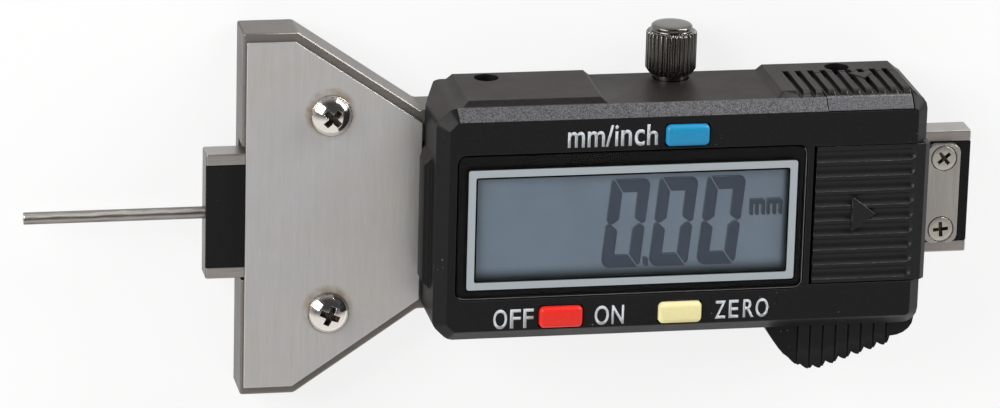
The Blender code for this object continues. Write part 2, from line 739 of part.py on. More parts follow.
def make_beam():
    """Beam with a recess for the scale strip and a bore for the depth rod."""
    beam = block(
        "beam",
        (BEAM_START_X, -BEAM_WIDTH / 2, BEAM_BACK_Z),
        (BEAM_END_X, BEAM_WIDTH / 2, BEAM_FRONT_Z),
        STAINLESS,
    )
    soften(beam, BEAM_EDGE)
    recess_z = BEAM_FRONT_Z - SCALE_THICKNESS - SEAT_GAP
    recess = block(
        "scale_recess_cutter",
        (BEAM_START_X - OVERRUN, -SCALE_WIDTH / 2 - SEAT_GAP, recess_z),
        (BEAM_END_X + OVERRUN, SCALE_WIDTH / 2 + SEAT_GAP, BEAM_FRONT_Z + OVERRUN),
    )
    rod_z = (BEAM_BACK_Z + recess_z) / 2
    bore_start = (BEAM_START_X - OVERRUN, 0.0, rod_z)
    bore_length = ROD_SEAT + OVERRUN + SEAT_GAP
    bore = drum("rod_bore_cutter", ROD_DIAMETER + 2 * SEAT_GAP, bore_start, bore_length, "X")
    cut(beam, recess, bore)
    strip_z = recess_z + SEAT_GAP / 2
    strip = block(
        "scale_strip",
        (BEAM_START_X, -SCALE_WIDTH / 2, strip_z),
        (BEAM_END_X, SCALE_WIDTH / 2, strip_z + SCALE_THICKNESS),
        SCALE_BLACK,
    )
    radius = ROD_DIAMETER / 2
    length = ROD_REACH + ROD_SEAT
    profile = [(0.0, length), (radius, length), (radius, ROD_POINT)]
    profile += [(radius - ROD_POINT, 0.0), (0.0, 0.0)]
    turned("depth_rod", profile, (ROD_TIP_X, 0.0, rod_z), "X", NICKEL, 20)
    make_stop_plate(beam, strip, strip_z + SCALE_THICKNESS)


def make_stop_plate(beam, strip, strip_front):
    """Stop plate on the beam's rear end with its two countersunk screws."""
    low = strip_front + SEAT_GAP
    high = low + STOP_PLATE_THICKNESS
    outline = rectangle(
        STOP_PLATE_START_X, STOP_PLATE_END_X, -STOP_PLATE_WIDTH / 2, STOP_PLATE_WIDTH / 2
    )
    plate = extruded("stop_plate", rounded(outline, STOP_PLATE_CORNER, 3), low, high, finish=STAINLESS)
    head = STOP_SCREW_HEAD / 2
    shank = STOP_SCREW_SHANK / 2
    cone = (head - shank) * STOP_SCREW_CONE_SHARE
    middle = (STOP_PLATE_START_X + STOP_PLATE_END_X) / 2
    rim = SEAT_GAP
    profile = [(0.0, 0.0), (head, 0.0), (head, -rim), (shank, -rim - cone)]
    profile += [(shank, -STOP_SCREW_LENGTH), (0.0, -STOP_SCREW_LENGTH)]
    foot = -STOP_SCREW_LENGTH - SEAT_GAP
    sink = [
        (0.0, OVERRUN),
        (head + SEAT_GAP, OVERRUN),
        (head + SEAT_GAP, -rim),
        (shank + SEAT_GAP, -2 * rim - cone),
        (shank + SEAT_GAP, foot),
        (0.0, foot),
    ]
    recess_z = high - STOP_SCREW_HEAD * RECESS_DEPTH_SHARE
    for index, side in enumerate((1, -1)):
        spot = (middle, side * STOP_SCREW_SPREAD / 2)
        place = (*spot, high)
        screw = turned(f"stop_plate_screw_{index + 1}", profile, place, finish=NICKEL, steps=20)
        top = high + OVERRUN
        cross_recess(screw, spot, STOP_SCREW_HEAD, recess_z, top, STOP_SCREW_TURNS[index])
        hole = turned(f"stop_screw_hole_{index + 1}", sink, place, steps=20)
        cut(plate, hole)
        cut(strip, hole)
        cut(beam, hole)


def make_gib():
    """Gib strip that is pressed against the beam, and its two set screws."""
    low = BEAM_BACK_Z
    strip = block(
        "gib_strip", (GIB_START_X, GIB_LOW_Y, low), (GIB_END_X, GIB_HIGH_Y, low + GIB_HEIGHT), BRASS
    )
    radius = GIB_SCREW_DIAMETER / 2
    dimple = [(0.0, OVERRUN), (radius, OVERRUN), (radius, 0.0), (0.0, -GIB_DIMPLE)]
    for index, x in enumerate((*GIB_SCREW_PLACES, LOCK_X)):
        name = f"gib_dimple_cutter_{index + 1}"
        cut(strip, turned(name, dimple, (x, GIB_HIGH_Y, BEAM_MIDDLE_Z), "Y", steps=20))
    point = GIB_DIMPLE
    length = GIB_SCREW_LENGTH
    profile = [(0.0, length), (radius, length), (radius, point), (radius - 2 * point, 0.0), (0.0, 0.0)]
    for index, x in enumerate(GIB_SCREW_PLACES):
        name = f"gib_set_screw_{index + 1}"
        screw = turned(name, profile, (x, GIB_POCKET_Y, BEAM_MIDDLE_Z), "Y", NICKEL, 20)
        end_y = GIB_POCKET_Y + length
        half = GIB_SCREW_SLOT / 2
        slot = block(
            f"gib_slot_cutter_{index + 1}",
            (x - GIB_SCREW_DIAMETER, end_y - GIB_SCREW_SLOT, BEAM_MIDDLE_Z - half),
            (x + GIB_SCREW_DIAMETER, end_y + OVERRUN, BEAM_MIDDLE_Z + half),
        )
        cut(screw, slot)


def knurl(piece, steps):
    """Push every second line of points on a turned knob in, to leave straight ridges."""
    root = LOCK_KNOB / 2 - KNURL_DEPTH
    for vertex in piece.data.vertices:
        radius = math.hypot(vertex.co.x, vertex.co.y)
        line = round(math.atan2(vertex.co.y, vertex.co.x) / math.tau * steps)
        if radius > LOCK_KNOB / 2 - WELD_DISTANCE and line % 2:
            vertex.co.x *= root / radius
            vertex.co.y *= root / radius


def make_lock_screw():
    """Knurled screw that clamps the gib strip against the beam."""
    tip = GIB_POCKET_Y
    foot = HOUSING_HIGH_Y + LOCK_KNOB_CLEAR - tip
    collar = HOUSING_HIGH_Y - LOCK_COLLAR_DEPTH - tip
    full = foot + LOCK_KNOB_TAPER
    top = full + LOCK_KNOB_LENGTH
    point = GIB_DIMPLE
    shank = LOCK_SHANK / 2
    profile = [
        (0.0, top + LOCK_CAP_LENGTH),
        (LOCK_CAP / 2 - point, top + LOCK_CAP_LENGTH),
        (LOCK_CAP / 2, top + LOCK_CAP_LENGTH - point),
        (LOCK_CAP / 2, top),
        (LOCK_KNOB / 2 - KNURL_DEPTH, top),
        (LOCK_KNOB / 2, top - KNURL_DEPTH),
        (LOCK_KNOB / 2, full),
        (LOCK_KNOB_FOOT / 2, foot),
        (LOCK_COLLAR / 2, foot),
        (LOCK_COLLAR / 2, collar),
        (shank, collar),
        (shank, point),
        (shank - point, 0.0),
        (0.0, 0.0),
    ]
    steps = 2 * KNURL_COUNT
    screw = turned("lock_screw", profile, (LOCK_X, tip, BEAM_MIDDLE_Z), "Y", steps=steps)
    screw = settle(screw, GUNMETAL)
    knurl(screw, steps)
    smooth_round_faces(screw)


def grip_drop(reach):
    """How far the tips of the thumb grip hang below the housing, at a distance from its end."""
    line = GRIP_NOSE_DROP + (reach - GRIP_NOSE_X) * GRIP_SLOPE_SHARE
    past = max(0.0, reach - GRIP_NOSE_X)
    return line - past * past / (2 * GRIP_NOSE_RADIUS)


def tooth_lift(tooth, share):
    """How far a tooth's edge lies above the line of the tips, from valley to tip to valley."""
    if share < TOOTH_TIP_SHARE:
        valley = min(TOOTH_RUN_IN, tooth + 1)
        turn = share / TOOTH_TIP_SHARE
        rise = 1 - math.sin(math.pi / 2 * turn)
    else:
        valley = min(TOOTH_RUN_IN, tooth + 2)
        turn = (share - TOOTH_TIP_SHARE) / (1 - TOOTH_TIP_SHARE)
        rise = 1 - math.cos(math.pi / 2 * turn)
    return TOOTH_DEPTH * valley / TOOTH_RUN_IN * rise


def grip_outline():
    """Outline of the thumb grip: a smooth nose, a row of rounded teeth and a rounded end."""
    points = []
    teeth_start = GRIP_END_LENGTH + TOOTH_PITCH * TOOTH_COUNT
    steps = 5
    for step in range(steps):
        reach = GRIP_LENGTH - (GRIP_LENGTH - teeth_start) * step / steps
        points.append((reach, max(0.0, grip_drop(reach))))
    for tooth in range(TOOTH_COUNT):
        for share in TOOTH_SHARES:
            reach = teeth_start - TOOTH_PITCH * (tooth + share)
            points.append((reach, grip_drop(reach) - tooth_lift(tooth, share)))
    for step in range(steps + 1):
        angle = math.pi / 2 * step / steps
        reach = GRIP_END_LENGTH * (1 - math.sin(angle))
        points.append((reach, GRIP_END_DROP * math.cos(angle)))
    points.append((0.0, -OVERRUN))
    points.append((GRIP_LENGTH, -OVERRUN))
    end = HOUSING_END_X - GRIP_END_INSET
    return [(end - reach, HOUSING_LOW_Y - drop) for reach, drop in points]


def make_thumb_grip():
    """Thumb grip under the housing, with a fine groove up its front along every tooth."""
    high = HOUSING_FRONT_Z - GRIP_FRONT_DROP
    grip = extruded("thumb_grip", grip_outline(), HOUSING_BACK_Z + GRIP_BACK_LIFT, high)
    teeth_start = GRIP_END_LENGTH + TOOTH_PITCH * TOOTH_COUNT
    for tooth in range(TOOTH_COUNT):
        x = HOUSING_END_X - teeth_start + TOOTH_PITCH * (tooth + TOOTH_TIP_SHARE)
        groove = block(
            f"grip_groove_{tooth + 1}",
            (x - TOOTH_GROOVE / 2, HOUSING_LOW_Y - GRIP_LENGTH, high - TOOTH_GROOVE),
            (x + TOOTH_GROOVE / 2, HOUSING_LOW_Y, high + OVERRUN),
        )
        cut(grip, groove)
    return grip


def make_pad(name, start_x, end_x):
    """Raised pad on the housing's upper side, with sloping ends and a sloping front edge."""
    pad = block(
        name,
        (start_x - PAD_RUN, HOUSING_HIGH_Y - SEAT_GAP, HOUSING_BACK_Z + GRIP_BACK_LIFT),
        (end_x + PAD_RUN, PAD_Y, HOUSING_FRONT_Z - HOUSING_CHAMFER - SEAT_GAP),
    )
    for vertex in pad.data.vertices:
        if vertex.co.y > 0:
            vertex.co.x -= math.copysign(PAD_RUN, vertex.co.x)
            if vertex.co.z > 0:
                vertex.co.z -= PAD_RUN
    return pad


def housing_body():
    """Outer block of the housing with round corners and a chamfered front rim."""
    low = (HOUSING_START_X, HOUSING_LOW_Y, HOUSING_BACK_Z)
    high = (HOUSING_END_X, HOUSING_HIGH_Y, HOUSING_FRONT_Z)
    body = block("front_housing", low, high, BLACK_PLASTIC)
    half_length = HOUSING_LENGTH / 2
    half_height = (HOUSING_FRONT_Z - HOUSING_BACK_Z) / 2
    close = WELD_DISTANCE
    bevel_edges(body, HOUSING_FACET, 1, lambda middle, way: is_upright(way) and middle.x < 0)
    bevel_edges(body, HOUSING_FACET_EDGE, 2, lambda middle, way: is_upright(way) and middle.x < 0)
    bevel_edges(body, HOUSING_CORNER, 4, lambda middle, way: is_upright(way) and middle.x > 0)
    bevel_edges(body, HOUSING_CHAMFER, 1, lambda middle, way: middle.z > half_height - close)
    bevel_edges(
        body, HOUSING_HEEL, 3,
        lambda middle, way: middle.z < close - half_height and middle.x > half_length - close,
    )
    return body


def make_front_housing():
    """Moulded housing: outer form first, then everything that is hollowed out of it."""
    housing = housing_body()
    add_outer_forms(housing)
    cut_frame_space(housing)
    cut_display_space(housing)
    cut_battery_space(housing)
    cut_port(housing)
    cut_side_holes(housing)


def add_outer_forms(housing):
    """Join the rib, the pads and the thumb grip, and cut the finger grooves of the second pad."""
    rib_x = HOUSING_START_X - RIB_DEPTH
    rib_y = HOUSING_LOW_Y + (HOUSING_HIGH_Y - HOUSING_LOW_Y - RIB_LENGTH) / 2 - RIB_OFFSET
    inside = HOUSING_START_X + OVERRUN
    rib = extruded(
        "left_rib",
        [
            (rib_x, rib_y + RIB_DEPTH),
            (inside, rib_y - OVERRUN),
            (inside, rib_y + RIB_LENGTH + OVERRUN),
            (rib_x, rib_y + RIB_LENGTH - RIB_DEPTH),
        ],
        PLATE_FRONT_Z + RIB_LIFT - SHANK_GAP,
        PLATE_FRONT_Z + RIB_LIFT - SHANK_GAP + RIB_HEIGHT,
    )
    left_start = HOUSING_START_X + LEFT_PAD_INSET
    left_pad = make_pad("left_pad", left_start, left_start + LEFT_PAD_LENGTH)
    right_end = HOUSING_END_X - RIGHT_PAD_INSET
    right_pad = make_pad("right_pad", right_end - RIGHT_PAD_LENGTH, right_end)
    unite(housing, rib, left_pad, right_pad, make_thumb_grip())
    for index, x in enumerate(GROOVE_PLACES):
        cut(housing, finger_groove(f"pad_groove_{index + 1}", x))


def finger_groove(name, x):
    """Cutter for one finger groove with upright walls and a round floor, open at the front."""
    radius = GROOVE_WIDTH / 2
    wall = GROOVE_DEPTH * GROOVE_WALL_SHARE
    floor = GROOVE_DEPTH - wall
    outline = [(-radius, OVERRUN)]
    steps = 4
    for step in range(steps + 1):
        angle = math.pi * step / steps
        outline.append((-radius * math.cos(angle), -wall - floor * math.sin(angle)))
    outline.append((radius, OVERRUN))
    return extruded(name, outline, GROOVE_START_Z, HOUSING_FRONT_Z, place=(x, PAD_Y))


def cut_frame_space(housing):
    """Cut the room for the frame's rails and the beam, and the leaning rear edge at the left."""
    slot_half = NECK_HALF + RUN_GAP
    slot = block(
        "frame_slot_cutter",
        (HOUSING_START_X - OVERRUN, -slot_half, -OVERRUN),
        (FRAME_END_X + RUN_GAP, slot_half, BOARD_BACK_Z),
    )
    exit_slot = block(
        "beam_exit_cutter",
        (FRAME_END_X - OVERRUN, CHANNEL_LOW_Y - RUN_GAP, -OVERRUN),
        (HOUSING_END_X + OVERRUN, CHANNEL_HIGH_Y, BOARD_BACK_Z),
    )
    lean = HOUSING_LEAN_RUN / HOUSING_LEAN_RISE
    wedge = extruded(
        "rear_lean_cutter",
        [
            (HOUSING_START_X - OVERRUN, HOUSING_BACK_Z + HOUSING_LEAN_RISE + OVERRUN / lean),
            (HOUSING_START_X - OVERRUN, HOUSING_BACK_Z - OVERRUN),
            (HOUSING_START_X + HOUSING_LEAN_RUN + OVERRUN * lean, HOUSING_BACK_Z - OVERRUN),
        ],
        HOUSING_LOW_Y - OVERRUN, PAD_Y + OVERRUN, "Y",
    )
    cut(housing, wedge, slot, exit_slot)
    for index, place in enumerate(HOUSING_SCREW_PLACES):
        name = f"housing_post_hole_{index + 1}"
        high = HOUSING_SCREW_SINK + HOUSING_SCREW_LENGTH + SHANK_GAP
        cut(housing, screw_hole(name, HOUSING_SCREW_SHANK, place, BOARD_BACK_Z - OVERRUN, high))


def cut_display_space(housing):
    """Cut the board's cavity, the window's recess and the holes of the buttons."""
    low_z = BOARD_BACK_Z - SEAT_GAP
    low_cavity = board_block("board_cavity_cutter", RUN_GAP, BOARD_END_X, low_z, DECK_Z)
    draft = RUN_GAP - SEAT_GAP
    upper_cavity = board_block("display_cavity_cutter", draft, WINDOW_END_X, BOARD_FRONT_Z, CEILING_Z)
    recess = extruded(
        "window_recess_cutter",
        rounded(
            rectangle(
                WINDOW_START_X - SEAM_GAP, WINDOW_END_X + SEAM_GAP,
                WINDOW_LOW_Y - SEAM_GAP, WINDOW_HIGH_Y + SEAM_GAP,
            ),
            WINDOW_CORNER + SEAM_GAP,
        ),
        WINDOW_BACK_Z - SEAT_GAP, HOUSING_FRONT_Z + OVERRUN,
    )
    opening = block(
        "glass_opening_cutter",
        (WINDOW_START_X + WINDOW_LEDGE, WINDOW_LOW_Y + WINDOW_LEDGE, CEILING_Z - OVERRUN),
        (WINDOW_END_X - WINDOW_LEDGE, WINDOW_HIGH_Y - WINDOW_LEDGE, HOUSING_FRONT_Z + OVERRUN),
    )
    cut(housing, low_cavity, upper_cavity, recess, opening)
    for label, place in BUTTON_PLACES.items():
        hole = extruded(
            f"button_hole_{label}", button_outline(SEAM_GAP),
            CEILING_Z - OVERRUN, HOUSING_FRONT_Z + OVERRUN, place=place,
        )
        cut(housing, hole)


def cut_battery_space(housing):
    """Cut the slide for the battery cover and the pocket for the cell and its side contact."""
    end = COVER_END_X + OVERRUN
    slide = block(
        "cover_slide_cutter",
        (COVER_START_X - COVER_START_GAP, COVER_LOW_Y - SEAM_GAP, COVER_BACK_Z - SEAT_GAP),
        (end, COVER_HIGH_Y + SEAM_GAP, HOUSING_FRONT_Z + OVERRUN),
    )
    reach = COVER_TONGUE + RUN_GAP
    undercut = block(
        "cover_undercut_cutter",
        (COVER_START_X - SEAT_GAP, COVER_LOW_Y - reach, COVER_BACK_Z - SEAT_GAP),
        (end, COVER_HIGH_Y + reach, COVER_BACK_Z + COVER_TONGUE_THICKNESS + SHANK_GAP),
    )
    pocket = drum(
        "cell_pocket_cutter", CELL_DIAMETER + 2 * RUN_GAP,
        (CELL_X, HOUSING_MIDDLE_Y, DECK_Z - OVERRUN), COVER_BACK_Z - DECK_Z + OVERRUN, steps=40,
    )
    side = CELL_X - CELL_DIAMETER / 2 - CONTACT_THICKNESS - 2 * RUN_GAP
    half = CONTACT_WIDTH / 2 + RUN_GAP
    contact_room = block(
        "side_contact_cutter",
        (side, HOUSING_MIDDLE_Y - half, DECK_Z - OVERRUN),
        (CELL_X, HOUSING_MIDDLE_Y + half, BOARD_FRONT_Z + CONTACT_TAB + RUN_GAP),
    )
    cut(housing, slide, undercut, pocket, contact_room)


def connector_x():
    """Start of the data connector along X."""
    return (PORT_COVER_START_X + PORT_COVER_END_X - CONNECTOR_LENGTH) / 2 - CONNECTOR_SLOT


def cut_port(housing):
    """Cut the seat of the port cover and the pocket of the data connector."""
    seat = block(
        "port_seat_cutter",
        (PORT_COVER_START_X - SEAM_GAP, PORT_FLOOR_Y, PORT_COVER_BACK_Z - SEAM_GAP),
        (PORT_COVER_END_X + SEAM_GAP, PAD_Y + OVERRUN, HOUSING_FRONT_Z + OVERRUN),
    )
    rail_y = PORT_FLOOR_Y + 2 * SEAM_GAP + PORT_TONGUE_THICKNESS
    rail_z = PORT_COVER_BACK_Z + PORT_TONGUE_HEIGHT + PORT_TRAVEL + SEAM_GAP
    reach = PORT_TONGUE + SEAM_GAP
    rails = block(
        "port_rail_cutter",
        (PORT_COVER_START_X - reach, PORT_FLOOR_Y, PORT_COVER_BACK_Z - SEAM_GAP),
        (PORT_COVER_END_X + reach, rail_y, rail_z),
    )
    start = connector_x()
    top = BOARD_FRONT_Z + CONNECTOR_HEIGHT
    pocket = block(
        "connector_pocket_cutter",
        (start - SEAM_GAP, BOARD_HIGH_Y - CONNECTOR_WIDTH - SEAM_GAP, BOARD_FRONT_Z),
        (start + CONNECTOR_LENGTH + SEAM_GAP, PORT_FLOOR_Y + OVERRUN, top + SEAM_GAP),
    )
    cut(housing, seat, rails, pocket)


def cut_side_holes(housing):
    """Cut the holes for the lock screw and for reaching the gib's set screws."""
    start_y = NECK_HALF - OVERRUN
    length = PAD_Y - start_y + OVERRUN
    for index, x in enumerate(GIB_SCREW_PLACES):
        start = (x, start_y, BEAM_MIDDLE_Z)
        cut(housing, drum(f"gib_access_{index + 1}", GIB_ACCESS_DIAMETER, start, length, "Y"))
    start = (LOCK_X, start_y, BEAM_MIDDLE_Z)
    cut(housing, drum("lock_passage", LOCK_SHANK + 2 * SHANK_GAP, start, length, "Y"))
    collar_start = (LOCK_X, HOUSING_HIGH_Y - LOCK_COLLAR_DEPTH - RUN_GAP, BEAM_MIDDLE_Z)
    cut(housing, drum("lock_counterbore", LOCK_COLLAR + 2 * SHANK_GAP, collar_start, length, "Y"))


def lcd_frame_corners(grow):
    """Corners of the silver frame's outer edge, grown or shrunk on every side."""
    start = WINDOW_START_X + LCD_FRAME_START
    low = WINDOW_LOW_Y + LCD_FRAME_LOW
    return rectangle(
        start - grow, start + LCD_FRAME_LENGTH + grow, low - grow, low + LCD_FRAME_WIDTH + grow
    )


def lcd_ring(name, grow, low, high, finish=None):
    """Ring of the silver frame, or of its groove when it is grown."""
    ring = extruded(
        name, rounded(lcd_frame_corners(grow), LCD_FRAME_CORNER + grow), low, high, finish=finish
    )
    inner = extruded(
        f"{name}_inner", lcd_frame_corners(-LCD_FRAME_LINE - grow), low - OVERRUN, high + OVERRUN
    )
    cut(ring, inner)
    return ring


def make_display():
    """Window, silver frame, display glass and the rubber strip that connects it."""
    outline = rounded(
        rectangle(WINDOW_START_X, WINDOW_END_X, WINDOW_LOW_Y, WINDOW_HIGH_Y), WINDOW_CORNER
    )
    window = extruded("display_window", outline, WINDOW_BACK_Z, WINDOW_FRONT_Z, finish=CLEAR_PLASTIC)
    frame_z = WINDOW_FRONT_Z - LCD_FRAME_THICKNESS
    groove = lcd_ring("frame_groove_cutter", SEAT_GAP, frame_z - SEAT_GAP, WINDOW_FRONT_Z + OVERRUN)
    cut(window, groove)
    lcd_ring("lcd_frame", 0.0, frame_z, WINDOW_FRONT_Z, SILVER_TRIM)
    gap = WINDOW_LEDGE + RUN_GAP
    block(
        "lcd_glass",
        (WINDOW_START_X + gap, WINDOW_LOW_Y + gap, GLASS_BACK_Z),
        (WINDOW_END_X - gap, WINDOW_HIGH_Y - gap, GLASS_FRONT_Z),
        LCD_GLASS,
    )
    middle = (WINDOW_START_X + WINDOW_END_X) / 2
    strip_y = WINDOW_LOW_Y + gap + ZEBRA_EDGE
    strip = block(
        "zebra_strip",
        (middle - ZEBRA_LENGTH / 2, strip_y, BOARD_FRONT_Z + SEAT_GAP),
        (middle + ZEBRA_LENGTH / 2, strip_y + ZEBRA_WIDTH, GLASS_BACK_Z - SEAT_GAP),
        GREY_RUBBER,
    )
    soften(strip, ZEBRA_EDGE / 2)


def dome_profile(diameter, height, steps=4):
    """Profile of a low dome from its top to its flat foot."""
    points = []
    for step in range(steps + 1):
        angle = math.pi / 2 * step / steps
        points.append((diameter / 2 * math.sin(angle), height * math.cos(angle)))
    points[-1] = (diameter / 2, 0.0)
    points.append((0.0, 0.0))
    return points


def make_board():
    """Circuit board with its potted chip, and a snap dome under every button."""
    board = board_block(
        "circuit_board", 0.0, BOARD_END_X, BOARD_BACK_Z, BOARD_FRONT_Z, BOARD_GREEN
    )
    middle = (WINDOW_START_X + WINDOW_END_X) / 2
    profile = dome_profile(CHIP_DIAMETER, CHIP_HEIGHT)
    profile[-2:] = [(CHIP_DIAMETER / 2, -BOARD_THICKNESS / 2), (0.0, -BOARD_THICKNESS / 2)]
    unite(board, turned("potted_chip", profile, (middle, HOUSING_MIDDLE_Y, BOARD_FRONT_Z), steps=24))
    for label, place in BUTTON_PLACES.items():
        profile = dome_profile(DOME_DIAMETER, DOME_HEIGHT)
        turned(f"dome_{label}", profile, (*place, BOARD_FRONT_Z + SEAT_GAP), finish=BRASS, steps=16)


def button_outline(grow):
    """Outline of a button cap about its own middle, grown for its hole."""
    half_length = BUTTON_LENGTH / 2 + grow
    half_width = BUTTON_WIDTH / 2 + grow
    corners = rectangle(-half_length, half_length, -half_width, half_width)
    return rounded(corners, BUTTON_CORNER + grow)


def make_buttons():
    """Three buttons, each with a cap, a flange that keeps it in and a stem to its dome."""
    finishes = {"unit": BLUE_BUTTON, "power": RED_BUTTON, "zero": YELLOW_BUTTON}
    dome_top = BOARD_FRONT_Z + SEAT_GAP + DOME_HEIGHT
    stem_foot = dome_top + BUTTON_TRAVEL + SEAT_GAP
    flange_top = CEILING_Z - SEAT_GAP
    flange_foot = flange_top - BUTTON_FLANGE_THICKNESS
    top = HOUSING_FRONT_Z + BUTTON_PROUD
    for label, (x, y) in BUTTON_PLACES.items():
        cap = extruded(
            f"button_{label}", button_outline(0.0), flange_foot, top, finish=finishes[label],
            place=(x, y),
        )
        soften(cap, BUTTON_CORNER / 2, 2)
        reach = BUTTON_LENGTH / 2 + BUTTON_FLANGE_REACH
        half = BUTTON_WIDTH / 2 - BUTTON_CORNER
        flange = block(
            f"button_flange_{label}", (x - reach, y - half, flange_foot), (x + reach, y + half, flange_top)
        )
        stem = drum(f"button_stem_{label}", BUTTON_STEM, (x, y, stem_foot), flange_top - stem_foot)
        unite(cap, flange, stem)


def make_battery():
    """Button cell with its stepped negative side down, and the two contact springs."""
    radius = CELL_DIAMETER / 2
    profile = [
        (0.0, CELL_HEIGHT),
        (radius - CELL_STEP / 2, CELL_HEIGHT),
        (radius, CELL_HEIGHT - CELL_STEP / 2),
        (radius, CELL_STEP),
        (radius - CELL_RIM, CELL_STEP),
        (radius - CELL_RIM - CELL_STEP, 0.0),
        (0.0, 0.0),
    ]
    turned("button_cell", profile, (CELL_X, HOUSING_MIDDLE_Y, CELL_BACK_Z), finish=NICKEL, steps=40)
    low = BOARD_FRONT_Z + SEAT_GAP / 2
    rise = CONTACT_SPRING_HEIGHT - CONTACT_THICKNESS
    half = CONTACT_LENGTH / 2
    count = 6
    lower = []
    for step in range(count + 1):
        share = step / count
        lower.append((-half + CONTACT_LENGTH * share, low + rise * math.sin(math.pi * share)))
    upper = [(across, up + CONTACT_THICKNESS) for across, up in reversed(lower)]
    extruded(
        "battery_contact_minus", lower + upper,
        HOUSING_MIDDLE_Y - CONTACT_WIDTH / 2, HOUSING_MIDDLE_Y + CONTACT_WIDTH / 2, "Y", NICKEL,
        place=(CELL_X, 0.0),
    )
    side = CELL_X - radius - RUN_GAP / 2
    tab = CONTACT_THICKNESS
    foot = side - CONTACT_THICKNESS + CONTACT_TAB / 2
    outline = [
        (side - tab, low), (foot, low), (foot, low + tab), (side, low + tab),
        (side, low + CONTACT_TAB), (side - tab, low + CONTACT_TAB),
    ]
    extruded(
        "battery_contact_plus", outline,
        HOUSING_MIDDLE_Y - CONTACT_WIDTH / 2, HOUSING_MIDDLE_Y + CONTACT_WIDTH / 2, "Y", NICKEL,
    )


def make_scoop(name, y, end_x):
    """Cutter for one thumb scoop: a shallow trough along X with a round end."""
    half = (SCOOP_PITCH - SCOOP_LAND) / 2
    radius = (half * half + SCOOP_DEPTH * SCOOP_DEPTH) / (2 * SCOOP_DEPTH)
    length = end_x - COVER_START_X + OVERRUN
    profile = [(0.0, length)]
    for step in range(1, 4):
        angle = math.pi / 2 * step / 3
        profile.append((radius * math.sin(angle), length - radius * (1 - math.cos(angle))))
    profile += [(radius, 0.0), (0.0, 0.0)]
    axis_z = COVER_FRONT_Z - SCOOP_DEPTH + radius
    return turned(name, profile, (COVER_START_X - OVERRUN, y, axis_z), "X", steps=28)


def make_battery_cover():
    """Sliding cover with tongues at both sides, thumb scoops and a raised arrow."""
    start = COVER_START_X
    slope = COVER_CHAMFER
    outline = [
        (start, COVER_BACK_Z),
        (COVER_END_X, COVER_BACK_Z),
        (COVER_END_X, COVER_FRONT_Z - slope),
        (COVER_END_X - slope, COVER_FRONT_Z),
        (start, COVER_FRONT_Z),
    ]
    cover = extruded("battery_cover", outline, COVER_LOW_Y, COVER_HIGH_Y, "Y", BLACK_PLASTIC)
    tongue_end = HOUSING_END_X - COVER_TONGUE_INSET
    tongue = block(
        "cover_tongue",
        (start + COVER_TONGUE_INSET, COVER_LOW_Y - COVER_TONGUE, COVER_BACK_Z),
        (tongue_end, COVER_HIGH_Y + COVER_TONGUE, COVER_BACK_Z + COVER_TONGUE_THICKNESS),
    )
    unite(cover, tongue)
    first = HOUSING_MIDDLE_Y - SCOOP_PITCH * (SCOOP_COUNT - 1) / 2
    for index in range(SCOOP_COUNT):
        y = first + SCOOP_PITCH * index
        cut(cover, make_scoop(f"scoop_cutter_{index + 1}", y, COVER_END_X - SCOOP_END_INSET))
    tail = start + ARROW_START_INSET
    arrow = extruded(
        "cover_arrow",
        [
            (tail, HOUSING_MIDDLE_Y - ARROW_WIDTH / 2),
            (tail + ARROW_LENGTH, HOUSING_MIDDLE_Y),
            (tail, HOUSING_MIDDLE_Y + ARROW_WIDTH / 2),
        ],
        COVER_FRONT_Z - 2 * SCOOP_DEPTH, COVER_FRONT_Z + ARROW_RISE,
    )
    unite(cover, arrow)


